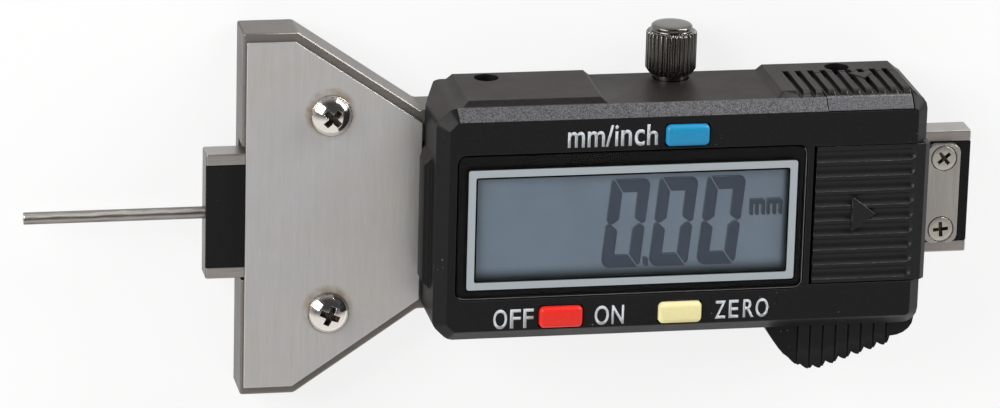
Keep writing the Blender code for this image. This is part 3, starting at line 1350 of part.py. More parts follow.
def make_port():
    """Ribbed cover that slides off the data port to the front, and the connector under it."""
    floor = PORT_FLOOR_Y + SEAM_GAP
    step_z = HOUSING_FRONT_Z - HOUSING_CHAMFER
    outline = [
        (floor, HOUSING_FRONT_Z - SEAT_GAP),
        (HOUSING_HIGH_Y - SEAT_GAP, step_z),
        (HOUSING_HIGH_Y - SEAT_GAP, step_z - SEAT_GAP),
        (PAD_Y - PAD_RAISE * PORT_NOSE_SHARE, step_z - PAD_RAISE),
        (PAD_Y, step_z - 2 * PAD_RAISE),
        (PAD_Y, PORT_COVER_BACK_Z),
        (floor, PORT_COVER_BACK_Z),
    ]
    cover = extruded(
        "port_cover", outline, PORT_COVER_START_X, PORT_COVER_END_X, "X", BLACK_PLASTIC
    )
    tongue = block(
        "port_tongue",
        (PORT_COVER_START_X - PORT_TONGUE, floor, PORT_COVER_BACK_Z),
        (
            PORT_COVER_END_X + PORT_TONGUE,
            floor + PORT_TONGUE_THICKNESS,
            PORT_COVER_BACK_Z + PORT_TONGUE_HEIGHT,
        ),
    )
    for index, x in enumerate(GROOVE_PLACES[HOUSING_GROOVES:]):
        cut(cover, finger_groove(f"port_groove_{index + 1}", x))
    middle = (PORT_COVER_START_X + PORT_COVER_END_X) / 2 + PORT_ARROW_OFFSET
    tail = PORT_COVER_BACK_Z + PORT_ARROW_START
    arrow = extruded(
        "port_arrow",
        [
            (middle - PORT_ARROW_WIDTH / 2, tail),
            (middle + PORT_ARROW_WIDTH / 2, tail),
            (middle, tail + PORT_ARROW_LENGTH),
        ],
        PAD_Y - GROOVE_DEPTH - SEAT_GAP, PAD_Y + ARROW_RISE, "Y",
    )
    unite(cover, tongue, arrow)
    start = connector_x()
    base = BOARD_FRONT_Z + SEAT_GAP
    top = BOARD_FRONT_Z + CONNECTOR_HEIGHT
    high_y = PORT_FLOOR_Y - SEAM_GAP
    connector = block(
        "data_connector",
        (start, BOARD_HIGH_Y - CONNECTOR_WIDTH, base),
        (start + CONNECTOR_LENGTH, high_y, top),
        BLACK_PLASTIC,
    )
    pitch = CONNECTOR_LENGTH / CONNECTOR_SLOTS
    for index in range(CONNECTOR_SLOTS):
        x = start + pitch * (index + 0.5)
        slot = block(
            f"connector_slot_{index + 1}",
            (x - CONNECTOR_SLOT / 2, high_y - CONNECTOR_SLOT_DEPTH, base + CONNECTOR_SLOT_DEPTH),
            (x + CONNECTOR_SLOT / 2, high_y + OVERRUN, top + OVERRUN),
        )
        cut(connector, slot)


def make_housing_screws():
    """Four screws that come through the frame from the back into the housing's posts."""
    head = HOUSING_SCREW_HEAD / 2
    shank = HOUSING_SCREW_SHANK / 2
    low = HOUSING_SCREW_SINK
    neck = low + HOUSING_SCREW_HEAD_HEIGHT
    top = low + HOUSING_SCREW_LENGTH
    profile = [(0.0, top), (shank / 2, top), (shank, top - shank), (shank, neck)]
    profile += [(head, neck), (head, low + SEAT_GAP), (head - SEAT_GAP, low), (0.0, low)]
    for index, place in enumerate(HOUSING_SCREW_PLACES):
        name = f"housing_screw_{index + 1}"
        screw = turned(name, profile, (*place, 0.0), finish=NICKEL, steps=16)
        recess_z = low + HOUSING_SCREW_HEAD * RECESS_DEPTH_SHARE
        cross_recess(screw, place, HOUSING_SCREW_HEAD, -OVERRUN, recess_z)


def main():
    """Build the gauge, piece by piece."""
    clear_scene()
    parts = make_collection(COLLECTION_NAME)
    make_collection("cutters")
    origin = bpy.data.objects.new("gauge_origin", None)
    parts.objects.link(origin)
    origin.location = (-LENGTH_MIDDLE_X, 0.0, 0.0)
    make_base_frame()
    make_cover_plate()
    make_beam()
    make_gib()
    make_lock_screw()
    make_front_housing()
    make_display()
    make_board()
    make_buttons()
    make_battery()
    make_battery_cover()
    make_port()
    make_housing_screws()
    bpy.context.view_layer.update()


main()
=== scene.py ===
"""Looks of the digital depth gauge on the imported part.

Finishes, fine edges, turned screws, printed words and the digits of the display.
"""

import json
import math
from collections import namedtuple

import bpy
from mathutils import Matrix, Vector

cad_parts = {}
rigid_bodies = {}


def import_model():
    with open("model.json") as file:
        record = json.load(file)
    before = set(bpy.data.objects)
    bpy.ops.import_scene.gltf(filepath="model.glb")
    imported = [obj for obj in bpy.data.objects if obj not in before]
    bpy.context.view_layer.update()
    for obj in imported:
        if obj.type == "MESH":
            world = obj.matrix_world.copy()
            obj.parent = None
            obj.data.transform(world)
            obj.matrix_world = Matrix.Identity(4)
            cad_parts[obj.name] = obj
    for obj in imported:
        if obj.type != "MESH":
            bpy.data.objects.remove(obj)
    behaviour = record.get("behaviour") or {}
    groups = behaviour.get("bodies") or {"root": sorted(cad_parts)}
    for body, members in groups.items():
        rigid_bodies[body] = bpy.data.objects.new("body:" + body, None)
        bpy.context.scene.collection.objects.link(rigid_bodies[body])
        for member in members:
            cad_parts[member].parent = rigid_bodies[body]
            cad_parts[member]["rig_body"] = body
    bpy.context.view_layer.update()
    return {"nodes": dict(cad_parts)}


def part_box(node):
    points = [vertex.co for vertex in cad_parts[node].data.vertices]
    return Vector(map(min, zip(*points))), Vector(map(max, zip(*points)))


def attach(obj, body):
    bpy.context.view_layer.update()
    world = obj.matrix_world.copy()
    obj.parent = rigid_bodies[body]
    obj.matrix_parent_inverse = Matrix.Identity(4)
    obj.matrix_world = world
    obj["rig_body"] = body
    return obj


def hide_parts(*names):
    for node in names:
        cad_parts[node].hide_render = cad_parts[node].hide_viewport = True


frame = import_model()

# Lengths are in metres. Places come from the boxes of the frame's own solids.
MM = 0.001

# The camera stands where the photograph was taken from.
CAMERA_PLACE = Vector((-0.122636, 0.209029, 0.625522))
CAMERA_RIGHT = Vector((0.98240, 0.02517, 0.18508))
CAMERA_UP = Vector((0.03460, 0.94921, -0.31274))
CAMERA_BACK = Vector((-0.18355, 0.31364, 0.93163))
CAMERA_LENS = 194.4
CAMERA_SENSOR = 36.0
CLIP_NEAR = 0.01
CLIP_FAR = 20.0

# Floor and studio light: a pale wall on the near side, a darker ceiling, two soft boxes on the far side.
FLOOR_SIZE = 3.0
FLOOR_DROP = 0.02 * MM
FLOOR_COLOUR = (0.95, 0.95, 0.95)
FLOOR_ROUGHNESS = 0.9
FLOOR_GLOW = 0.80
NEAR_WALL = (0.88, 0.85, 0.83)
FAR_HORIZON = (0.36, 0.34, 0.33)
CEILING = (0.17, 0.17, 0.175)
FAR_CEILING = (0.055, 0.054, 0.056)
# Where each of them fades in, as parts of the way that a ray takes along Y or Z.
NEAR_WALL_FADE = (-0.02, -0.50)
FAR_HORIZON_FADE = (0.55, 0.0)
FAR_CEILING_FADE = (0.05, 0.35)
# Place, width, height and power of each soft box.
SOFT_BOXES = {
    "left_box": ((-0.53, 0.30, 0.33), 0.40, 0.46, 4.3),
    "right_strip": ((0.52, 0.43, 0.18), 0.62, 0.14, 4.5),
}

# How points and faces are merged, and the angles up to which a surface is shaded smooth.
MERGE_DISTANCE = 0.002 * MM
FINE_MERGE = MERGE_DISTANCE / 4
FLAT_ANGLE = math.radians(0.6)
SHARP_ANGLE = math.radians(32.0)
FACET_ANGLE = math.radians(18.0)
BUTTON_ANGLE = math.radians(40.0)
HEAD_ANGLE = math.radians(28.0)
LOCK_ANGLE = math.radians(35.0)
ROD_ANGLE = math.radians(30.0)
# A rounded edge keeps the finish beside it.
ITS_OWN_FINISH = -1

# Printed words on the housing's front: each letter and its left, right, lower and upper edge in millimetres.
PRINT_THICKNESS = 0.02 * MM
PRINT_SINK = 0.01 * MM
PRINT_BOLD = 0.012
PRINT_CURVES = 6
WORDS = {
    "word_unit": (
        ("m", 5.70, 7.78, 10.56, 12.56), ("m", 8.14, 10.26, 10.56, 12.58), ("/", 10.40, 11.36, 10.56, 13.28),
        ("i", 11.53, 11.92, 10.58, 13.26), ("n", 12.28, 13.61, 10.58, 12.62),
        ("c", 13.97, 15.20, 10.55, 12.64), ("h", 15.50, 16.86, 10.58, 13.24),
    ),
    "word_off": (
        ("O", -2.93, -1.23, -12.42, -9.89), ("F", -0.85, 0.47, -12.39, -9.92),
        ("F", 0.80, 2.07, -12.38, -9.90),
    ),
    "word_on": (("O", 9.71, 11.48, -12.37, -9.88), ("N", 11.84, 13.36, -12.32, -9.88)),
    "word_zero": (
        ("Z", 24.82, 26.16, -12.15, -9.83), ("E", 26.56, 27.78, -12.13, -9.80),
        ("R", 28.36, 29.70, -12.12, -9.77), ("O", 29.95, 31.54, -12.14, -9.71),
    ),
}

# Digits of the display in millimetres, measured along from a digit's left edge and up from the beam's axis.
DIGIT_STARTS = (11.035, 17.005, 22.975)
DIGIT_SLANT = 0.097
DIGIT_STROKES = (
    ((0.42, 5.93), (1.50, 4.37), (3.38, 4.37), (3.45, 0.95), (4.34, 0.30), (4.74, 0.55), (4.74, 5.25),
     (4.55, 5.70), (4.07, 5.93)),
    ((0.00, 5.40), (0.00, 0.62), (0.37, 0.33), (0.67, 0.33), (1.37, 0.90), (1.37, 4.30), (0.29, 5.86),
     (0.09, 5.72)),
    ((0.00, -0.05), (0.00, -4.45), (0.25, -4.98), (0.87, -5.30), (4.42, -5.30), (3.19, -3.75), (1.37, -3.75),
     (1.37, -0.55), (0.52, 0.17), (0.32, 0.17)),
    ((3.38, -0.45), (3.38, -3.76), (4.36, -4.98), (4.53, -4.97), (4.74, -4.72), (4.74, -0.20), (4.32, 0.15),
     (4.04, 0.15)),
)
POINT_OUTLINE = ((5.07, -4.15), (5.29, -5.20), (5.81, -5.20), (5.67, -4.15))
UNIT_LEGS = ((29.11, 29.82, 30.61), (31.23, 32.03, 32.78))
UNIT_LEG_HALF = 0.19
UNIT_LOW = 0.88
UNIT_ARCH = 2.25
UNIT_HIGH = 2.85
DIGIT_THICKNESS = 0.012 * MM
# The two layers of the digits: name, shift in millimetres, thicknesses above the glass, and finish.
DIGIT_LAYERS = (
    ("digit_shadow", (-0.16, 0.22), 1, "digit_shadow"),
    ("digit_front", (0.0, 0.0), 3, "digit_dark"),
)


def corners(node):
    """Lowest and highest corner of a solid's box."""
    low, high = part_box(node)
    return Vector(low), Vector(high)


def centre_of(node):
    """Middle of a solid's box."""
    return sum(corners(node), Vector()) / 2


def add_object(name, data):
    """A new object in the scene."""
    made = bpy.data.objects.new(name, data)
    bpy.context.scene.collection.objects.link(made)
    return made


def select_only(piece):
    """Selects one piece and makes it the active one."""
    bpy.ops.object.select_all(action="DESELECT")
    piece.select_set(True)
    bpy.context.view_layer.objects.active = piece


def apply_place(piece):
    """Moves a piece's place, turn and size into its mesh."""
    select_only(piece)
    bpy.ops.object.transform_apply(location=True, rotation=True, scale=True)


def apply_modifiers(piece):
    """Applies every modifier of a piece, in order."""
    select_only(piece)
    for modifier in list(piece.modifiers):
        bpy.ops.object.modifier_apply(modifier=modifier.name)


def looks_down(face):
    """Chooses the faces that look straight down."""
    return face.normal.z < -STRAIGHT


def ends(piece, edge):
    """Places of an edge's two ends."""
    return [piece.data.vertices[index].co for index in edge.vertices]


def pick(piece, kind="FACE", wanted=None):
    """Goes into edit mode with a piece's wanted vertices, edges or faces selected, or with all of them."""
    select_only(piece)
    bpy.ops.object.mode_set(mode="EDIT")
    bpy.context.tool_settings.mesh_select_mode = (kind == "VERT", kind == "EDGE", kind == "FACE")
    bpy.ops.mesh.select_all(action="DESELECT")
    leave_edit()
    mesh = piece.data
    for part in {"VERT": mesh.vertices, "EDGE": mesh.edges, "FACE": mesh.polygons}[kind]:
        part.select = wanted is None or bool(wanted(part))
    bpy.ops.object.mode_set(mode="EDIT")


def leave_edit():
    """Goes back to object mode."""
    bpy.ops.object.mode_set(mode="OBJECT")


def extrude(height):
    """Extrudes the selected faces upwards, or downwards where the height is negative."""
    bpy.ops.mesh.extrude_region_move(TRANSFORM_OT_translate={"value": (0.0, 0.0, height)})


def cut_at(piece, place, way, **settings):
    """Cuts all faces of a piece at a plane."""
    pick(piece)
    bpy.ops.mesh.bisect(plane_co=place, plane_no=way, **settings)
    leave_edit()


def round_picked(piece, wanted, width, segments=3):
    """Rounds the wanted edges of a piece."""
    pick(piece, "EDGE", wanted)
    bpy.ops.mesh.bevel(offset=width, segments=segments, profile=0.5, affect="EDGES")
    leave_edit()


def clean(piece):
    """Joins a piece's doubled points and turns its faces outwards."""
    pick(piece)
    bpy.ops.mesh.remove_doubles(threshold=FINE_MERGE)
    bpy.ops.mesh.normals_make_consistent(inside=False)
    leave_edit()


def start_piece(add, **settings):
    """Runs an operator that adds a piece, and gives that piece."""
    bpy.ops.object.select_all(action="DESELECT")
    add(**settings)
    return bpy.context.active_object


def join_pieces(pieces):
    """Joins pieces into the first of them."""
    bpy.ops.object.select_all(action="DESELECT")
    for piece in pieces:
        piece.select_set(True)
    bpy.context.view_layer.objects.active = pieces[0]
    bpy.ops.object.join()
    return pieces[0]


def round_edges(piece, width, segments=2, angle=SHARP_ANGLE, finish_index=ITS_OWN_FINISH):
    """Rounds a piece's sharp edges by a small radius and keeps its flat faces flat."""
    bevel = piece.modifiers.new("fine_edges", "BEVEL")
    bevel.width = width
    bevel.segments = segments
    bevel.limit_method = "ANGLE"
    bevel.angle_limit = angle
    bevel.use_clamp_overlap = True
    bevel.material = finish_index
    apply_modifiers(piece)


def smooth(piece, angle=SHARP_ANGLE, weighted=False):
    """Smooth shading with the sharp edges kept. Weighted normals keep large faces flat beside fine edges."""
    select_only(piece)
    bpy.ops.object.shade_smooth_by_angle(angle=angle)
    if weighted:
        normals = piece.modifiers.new("flat_faces", "WEIGHTED_NORMAL")
        normals.keep_sharp = True
        apply_modifiers(piece)


def merged_copy(node, name):
    """A copy of a solid with its triangles joined into whole faces."""
    copy = add_object(name, frame["nodes"][node].data.copy())
    copy.data.materials.clear()
    pick(copy)
    bpy.ops.mesh.remove_doubles(threshold=MERGE_DISTANCE)
    bpy.ops.mesh.dissolve_limited(angle_limit=FLAT_ANGLE)
    leave_edit()
    return copy


def flat_shape(name, outlines, low, high):
    """A flat piece from closed outlines in metres, where an inner outline is a hole."""
    curve = bpy.data.curves.new(name, "CURVE")
    curve.dimensions = "2D"
    curve.fill_mode = "BOTH"
    curve.extrude = (high - low) / 2
    for outline in outlines:
        spline = curve.splines.new("POLY")
        spline.points.add(len(outline) - 1)
        for point, (x, y) in zip(spline.points, outline):
            point.co = (x, y, 0.0, 1.0)
        spline.use_cyclic_u = True
    select_only(add_object(name, curve))
    bpy.ops.object.convert(target="MESH")
    piece = bpy.context.active_object
    piece.location.z = (low + high) / 2
    apply_place(piece)
    clean(piece)
    return piece


def lay_finishes(piece, names):
    """Gives a piece its finishes, the first one for all of its faces."""
    piece.data.materials.clear()
    for name in names:
        piece.data.materials.append(FINISHES[name])


def finish_piece(piece, names, node, stands_for=True):
    """Gives a piece its finishes, if any are named, and the body of a solid that it may replace, and hides
    that solid when it stands for it.
    """
    if names:
        lay_finishes(piece, names)
    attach(piece, frame["nodes"][node]["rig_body"])
    if stands_for:
        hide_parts(node)


def put(tree, kind, settings=None, **sockets):
    """Adds a shader node with its settings and the values of its inputs."""
    made = tree.nodes.new("ShaderNode" + kind)
    for name, value in (settings or {}).items():
        setattr(made, name, value)
    feed(tree, made, **sockets)
    return made


def feed(tree, node, **sockets):
    """Gives a node's inputs their values."""
    for name, value in sockets.items():
        join(tree, value, node.inputs[name.replace("_", " ")])


def join(tree, value, socket):
    """Links an output to a socket, or sets the socket to a plain value. Every colour is opaque."""
    if isinstance(value, bpy.types.NodeSocket):
        tree.links.new(value, socket)
    elif socket.type == "RGBA":
        socket.default_value = (*value, 1.0)
    else:
        socket.default_value = value


def calc(tree, operation, *values, kind="Math"):
    """The number that a Math or a Vector Math node gives."""
    made = put(tree, kind, {"operation": operation})
    for value, socket in zip(values, made.inputs):
        join(tree, value, socket)
    return made.outputs["Value"]


def noise(tree, place, scale, detail=2.0, roughness=0.5):
    """Noise at a place."""
    made = put(tree, "TexNoise", Vector=place, Scale=scale, Detail=detail, Roughness=roughness)
    return made.outputs["Fac"]


def ramp(tree, value, low, high, to_low=0.0, to_high=1.0, soft=False):
    """A value spread from one range to another and held inside it."""
    settings = {"clamp": True, "interpolation_type": "SMOOTHSTEP" if soft else "LINEAR"}
    made = put(tree, "MapRange", settings, Value=value, From_Min=low, From_Max=high,
               To_Min=to_low, To_Max=to_high)
    return made.outputs["Result"]


# Sockets of a Mix node for colours.
MIX_FIRST, MIX_SECOND, MIX_RESULT = 6, 7, 2


def tint(tree, share, first, second, blend="MIX"):
    """A colour between two colours."""
    made = tree.nodes.new("ShaderNodeMix")
    made.data_type = "RGBA"
    made.blend_type = blend
    join(tree, share, made.inputs["Factor"])
    join(tree, first, made.inputs[MIX_FIRST])
    join(tree, second, made.inputs[MIX_SECOND])
    return made.outputs[MIX_RESULT]


def new_group(name, inputs, outputs):
    """An empty node group with its named sockets."""
    group = bpy.data.node_groups.new(name, "ShaderNodeTree")
    for label, kind, value in inputs:
        socket = group.interface.new_socket(label, in_out="INPUT", socket_type="NodeSocket" + kind)
        if value is not None:
            socket.default_value = value
    for label, kind in outputs:
        group.interface.new_socket(label, in_out="OUTPUT", socket_type="NodeSocket" + kind)
    return group, group.nodes.new("NodeGroupInput").outputs, group.nodes.new("NodeGroupOutput").inputs


def brushing_group():
    """Fine parallel lines with broader streaks, for coordinates stretched along the lines."""
    group, given, made = new_group(
        "brushed_lines",
        [("Vector", "Vector", None), ("Fine", "Float", 1.0), ("Broad", "Float", 0.18)],
        [("Tone", "Float"), ("Height", "Float")],
    )
    fine = noise(group, given["Vector"], given["Fine"], 4.0, 0.62)
    broad = noise(group, given["Vector"], given["Broad"])
    lines = ramp(group, fine, 0.3, 0.7)
    streaks = ramp(group, broad, 0.25, 0.75)
    weighed = calc(group, "MULTIPLY", streaks, 0.3)
    mixed = calc(group, "MULTIPLY_ADD", lines, 0.7, weighed)
    join(group, mixed, made["Tone"])
    join(group, lines, made["Height"])
    return group


def edge_group():
    """Where a surface turns over an edge: a mask of the edge for its wear and painted highlight, and a
    normal that rounds it a little.
    """
    group, given, made = new_group(
        "turned_edges",
        [("Radius", "Float", 0.1 * MM), ("Vector", "Vector", None)],
        [("Mask", "Float"), ("Normal", "Vector")],
    )
    rounded = put(group, "Bevel", {"samples": 6}, Radius=given["Radius"])
    plain = group.nodes.new("ShaderNodeNewGeometry")
    normals = (rounded.outputs["Normal"], plain.outputs["Normal"])
    turned = ramp(group, calc(group, "DOT_PRODUCT", *normals, kind="VectorMath"), 0.995, 0.86)
    patchy = noise(group, given["Vector"], 900.0, 3.0)
    # Patchy strength of the edge's wear and painted highlight.
    wear_and_highlight = ramp(group, patchy, 0.25, 0.6, 0.45, 1.0)
    join(group, calc(group, "MULTIPLY", turned, wear_and_highlight), made["Mask"])
    join(group, rounded.outputs["Normal"], made["Normal"])
    return group


def grain_group():
    """Moulded or etched grain: small rounded bumps of mixed size, with a tone that follows them."""
    group, given, made = new_group(
        "moulded_grain",
        [("Vector", "Vector", None), ("Density", "Float", 5000.0)],
        [("Tone", "Float"), ("Height", "Float")],
    )
    bumps = noise(group, given["Vector"], given["Density"], 3.0, 0.6)
    cells = put(group, "TexVoronoi", {"feature": "SMOOTH_F1"}, Vector=given["Vector"],
                Scale=calc(group, "MULTIPLY", given["Density"], 0.6))
    height = calc(group, "MULTIPLY_ADD", cells.outputs["Distance"], -0.5, bumps)
    join(group, ramp(group, height, 0.0, 0.7), made["Height"])
    join(group, ramp(group, bumps, 0.35, 0.7), made["Tone"])
    return group


def handling_group():
    """Marks of use: soft cloudy wiping, and a few specks of dust."""
    group, given, made = new_group(
        "handling_marks",
        [("Vector", "Vector", None), ("Cloud", "Float", 120.0), ("Speck", "Float", 1500.0)],
        [("Wiped", "Float"), ("Dust", "Float")],
    )
    cloud = noise(group, given["Vector"], given["Cloud"], 5.0, 0.65)
    speck = put(group, "TexVoronoi", Vector=given["Vector"], Scale=given["Speck"])
    sparse = noise(group, given["Vector"], calc(group, "MULTIPLY", given["Speck"], 0.2))
    join(group, ramp(group, cloud, 0.3, 0.7), made["Wiped"])
    near = ramp(group, speck.outputs["Distance"], 0.17, 0.06)
    join(group, calc(group, "MULTIPLY", near, ramp(group, sparse, 0.63, 0.70)), made["Dust"])
    return group


BRUSHING = brushing_group()
EDGES = edge_group()
GRAIN = grain_group()
HANDLING = handling_group()
FINISHES = {}


def place_group(tree, group, **sockets):
    """Places a shared group in a material."""
    made = tree.nodes.new("ShaderNodeGroup")
    made.node_tree = group
    feed(tree, made, **sockets)
    return made.outputs


def new_finish(name):
    """A new finish: its shader, its node tree and the piece's own coordinates."""
    material = FINISHES[name] = bpy.data.materials.new(name)
    material.use_nodes = True
    tree = material.node_tree
    return tree, tree.nodes["Principled BSDF"], tree.nodes.new("ShaderNodeTexCoord").outputs["Object"]


def stretched(tree, coordinates, scale):
    """Coordinates scaled differently along each axis."""
    return put(tree, "Mapping", Vector=coordinates, Scale=scale).outputs["Vector"]


def relief(tree, strength, height, **normal):
    """The normal of a surface with fine relief."""
    made = put(tree, "Bump", Strength=strength, Distance=RELIEF_HEIGHT, Height=height, **normal)
    return made.outputs["Normal"]


def stain_rings(tree, coordinates, centres, inner, outer):
    """A mask of patchy stains round the given centres, fading between two radii."""
    total = 0.0
    for x, y in centres:
        shifted = put(tree, "Mapping", Vector=coordinates, Location=(-x, -y, 0.0), Scale=(1.0, 1.0, 0.0))
        reach = calc(tree, "LENGTH", shifted.outputs["Vector"], kind="VectorMath")
        total = calc(tree, "ADD", total, ramp(tree, reach, outer, inner, soft=True))
    patchy = noise(tree, coordinates, 700.0, 3.0)
    mask = calc(tree, "MULTIPLY", total, ramp(tree, patchy, 0.35, 0.65, 0.15, 1.0))
    mask.node.use_clamp = True
    return mask


def steel(name, dark, light, edge_wear_and_highlight, roughness, scale, bump=0.06, edge_radius=0.10 * MM, cloud=0.0,
          stains=(), stain_reach=(2.6 * MM, 3.4 * MM), metallic=1.0, end=None, drift=0.0):
    """Ground or brushed steel: lines one way, wiping, edges bright with wear and a painted highlight, stains
    and a tarnished end face.
    """
    tree, shader, coordinates = new_finish(name)
    lines = place_group(tree, BRUSHING, Vector=stretched(tree, coordinates, scale))
    edges = place_group(tree, EDGES, Radius=edge_radius, Vector=coordinates)
    marks = place_group(tree, HANDLING, Vector=coordinates)
    body = tint(tree, lines["Tone"], dark, light)
    if cloud:
        body = tint(tree, calc(tree, "MULTIPLY", marks["Wiped"], cloud), body, dark)
    if drift:
        slow = noise(tree, coordinates, 75.0, 3.0, 0.6)
        hue = tint(tree, ramp(tree, slow, 0.35, 0.65), DRIFT_WARM, DRIFT_COOL)
        body = tint(tree, drift, body, hue, "MULTIPLY")
    if stains:
        body = tint(tree, stain_rings(tree, coordinates, stains, *stain_reach), body, STAIN_BROWN)
    if end is not None:
        along = put(tree, "SeparateXYZ", Vector=coordinates).outputs["X"]
        body = tint(tree, ramp(tree, along, end + END_DEPTH, end), body, END_BROWN)
    # The edges take a paler colour: partly wear, partly a painted highlight.
    feed(tree, shader, Base_Color=tint(tree, edges["Mask"], body, edge_wear_and_highlight))
    rough = calc(tree, "MULTIPLY_ADD", lines["Tone"], LINES_ROUGHEN, roughness - LINES_ROUGHEN_MEAN)
    feed(tree, shader, Roughness=calc(tree, "MULTIPLY_ADD", marks["Wiped"], WIPING_ROUGHENS, rough))
    feed(tree, shader, Normal=relief(tree, bump, lines["Height"], Normal=edges["Normal"]), Metallic=metallic)


def ground_rod(name, roughness):
    """Ground steel rod: bands of painted highlight and painted shade across its seen side, wavering in long
    streaks along it.
    """
    tree, shader, coordinates = new_finish(name)
    low, high = corners("depth_rod")
    middle = put(tree, "Mapping", Vector=coordinates, Location=(0.0, 0.0, -(low.z + high.z) / 2))
    across = calc(tree, "DOT_PRODUCT", middle.outputs["Vector"], ROD_ACROSS, kind="VectorMath")
    drift = noise(tree, stretched(tree, coordinates, ROD_STREAKS), ROD_NOISE, 3.0)
    radius = (high.z - low.z) / 2
    share = ramp(tree, across, -radius, radius)
    share = calc(tree, "MULTIPLY_ADD", calc(tree, "SUBTRACT", drift, 0.5), ROD_DRIFT, share)
    # Colour ramp of painted highlight and shade across the rod.
    painted_bands = put(tree, "ValToRGB", Fac=share)
    elements = painted_bands.color_ramp.elements
    while len(elements) > 1:
        elements.remove(elements[-1])
    for index, (position, colour) in enumerate(ROD_PAINTED_BANDS):
        element = elements.new(position) if index else elements[0]
        element.position = position
        element.color = (*colour, 1.0)
    lines = place_group(tree, BRUSHING, Vector=stretched(tree, coordinates, ROD_LINES))
    shadow = calc(tree, "MULTIPLY", lines["Tone"], 0.35)
    feed(tree, shader, Base_Color=tint(tree, shadow, painted_bands.outputs["Color"], ROD_SHADOW),
         Roughness=calc(tree, "MULTIPLY_ADD", lines["Tone"], 0.12, roughness),
         Normal=relief(tree, 0.06, lines["Height"]), Metallic=0.6)


def plastic(name, dark, light, edge_wear_and_highlight, roughness, density=5000.0, bump=0.25, dust=0.25,
            edge_radius=0.15 * MM, gloss=0.5, wear_and_highlight=0.5):
    """Moulded plastic: fine grain, edges paler with wear and a painted highlight, wiping and dust."""
    tree, shader, coordinates = new_finish(name)
    grain = place_group(tree, GRAIN, Vector=coordinates, Density=density)
    edges = place_group(tree, EDGES, Radius=edge_radius, Vector=coordinates)
    marks = place_group(tree, HANDLING, Vector=coordinates)
    body = tint(tree, grain["Tone"], dark, light)
    # The edges take a paler colour: partly wear, partly a painted highlight.
    rubbed_and_highlit = tint(tree, calc(tree, "MULTIPLY", edges["Mask"], wear_and_highlight), body, edge_wear_and_highlight)
    dusty = tint(tree, calc(tree, "MULTIPLY", marks["Dust"], dust), rubbed_and_highlit, DUST_GREY)
    rough = calc(tree, "MULTIPLY_ADD", marks["Wiped"], 0.10, roughness - 0.05)
    normal = relief(tree, bump, grain["Height"], Normal=edges["Normal"])
    feed(tree, shader, Base_Color=dusty, Roughness=rough, Normal=normal, Specular_IOR_Level=gloss)


def glass(name, colour, roughness, bend):
    """Clear moulded window."""
    tree, shader, coordinates = new_finish(name)
    marks = place_group(tree, HANDLING, Vector=coordinates)
    feed(tree, shader, Base_Color=tint(tree, marks["Wiped"], colour, WHITE), Roughness=roughness,
         Transmission_Weight=1.0, IOR=bend)


def display_face(name, pale, teal, dark):
    """Blue grey display glass with a painted shadow along its low and far edges."""
    tree, shader, coordinates = new_finish(name)
    low, high = LCD_OPENING
    place = put(tree, "SeparateXYZ", Vector=coordinates).outputs

    def shade(axis, edge, first, last):
        return ramp(tree, place[axis], edge + first, edge + last, soft=True)

    # Painted shadow of the frame: wide at the lower edge, narrower at the right and narrowest at the left.
    lower = shade("Y", low.y, -0.10 * MM, 1.95 * MM)
    right = shade("X", high.x, -0.02 * MM, -0.95 * MM)
    left = shade("X", low.x, -0.05 * MM, 0.35 * MM)
    clear_of_painted_shadow = calc(tree, "MULTIPLY", calc(tree, "MULTIPLY", lower, right), left)
    cloud = noise(tree, coordinates, 220.0)
    tone = tint(tree, ramp(tree, cloud, 0.35, 0.65, 0.0, 0.5), pale, teal)
    feed(tree, shader, Base_Color=tint(tree, clear_of_painted_shadow, dark, tone), Roughness=0.45, Specular_IOR_Level=0.2)


# Lines of ground steel, and how much lines and wiping roughen it.
ACROSS_LINES = 9000.0
ALONG_LINES = 260.0
LINES_ALONG_X = (ALONG_LINES, ACROSS_LINES, ACROSS_LINES)
LINES_ALONG_Y = (ACROSS_LINES, ALONG_LINES, ACROSS_LINES)
LINES_ROUGHEN = 0.10
LINES_ROUGHEN_MEAN = 0.08
WIPING_ROUGHENS = 0.06
RELIEF_HEIGHT = 0.02 * MM

# Painted highlight and shade bands of the rod across its seen side, and its streaks and lines.
ROD_PAINTED_BANDS = (
    (0.00, (0.10, 0.09, 0.085)), (0.12, (0.30, 0.28, 0.275)), (0.27, (0.42, 0.40, 0.395)),
    (0.40, (0.13, 0.12, 0.11)), (0.50, (0.20, 0.18, 0.165)), (0.62, (0.95, 0.93, 0.88)),
    (0.72, (0.80, 0.78, 0.74)), (0.84, (0.27, 0.25, 0.23)), (1.00, (0.11, 0.10, 0.095)),
)
ROD_ACROSS = (0.0, 0.95, -0.31)
ROD_STREAKS = (70.0, 900.0, 900.0)
ROD_NOISE = 5.0
ROD_LINES = (60.0, 6000.0, 6000.0)
ROD_DRIFT = 0.30
ROD_SHADOW = (0.16, 0.14, 0.12)

WHITE = (1.0, 1.0, 1.0)
DUST_GREY = (0.42, 0.41, 0.39)
STAIN_BROWN = (0.40, 0.33, 0.25)
DRIFT_WARM = (0.97, 0.96, 0.90)
DRIFT_COOL = (0.98, 1.00, 1.06)
END_BROWN = (0.125, 0.100, 0.085)
END_DEPTH = 0.12 * MM

# The display's opening inside the silver frame, and the places where steel is stained.
LCD_LINE = 0.9 * MM
LCD_INSET = Vector((LCD_LINE, LCD_LINE, 0.0))
LCD_OPENING = (corners("lcd_frame")[0] + LCD_INSET, corners("lcd_frame")[1] - LCD_INSET)
STAIN_SHIFT = Vector((-0.15 * MM, 0.45 * MM))
PLATE_STAINS = [tuple(centre_of(f"base_plate_screw_{number}").xy + STAIN_SHIFT) for number in (1, 2)]
BEAM_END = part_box("beam")[0][0]


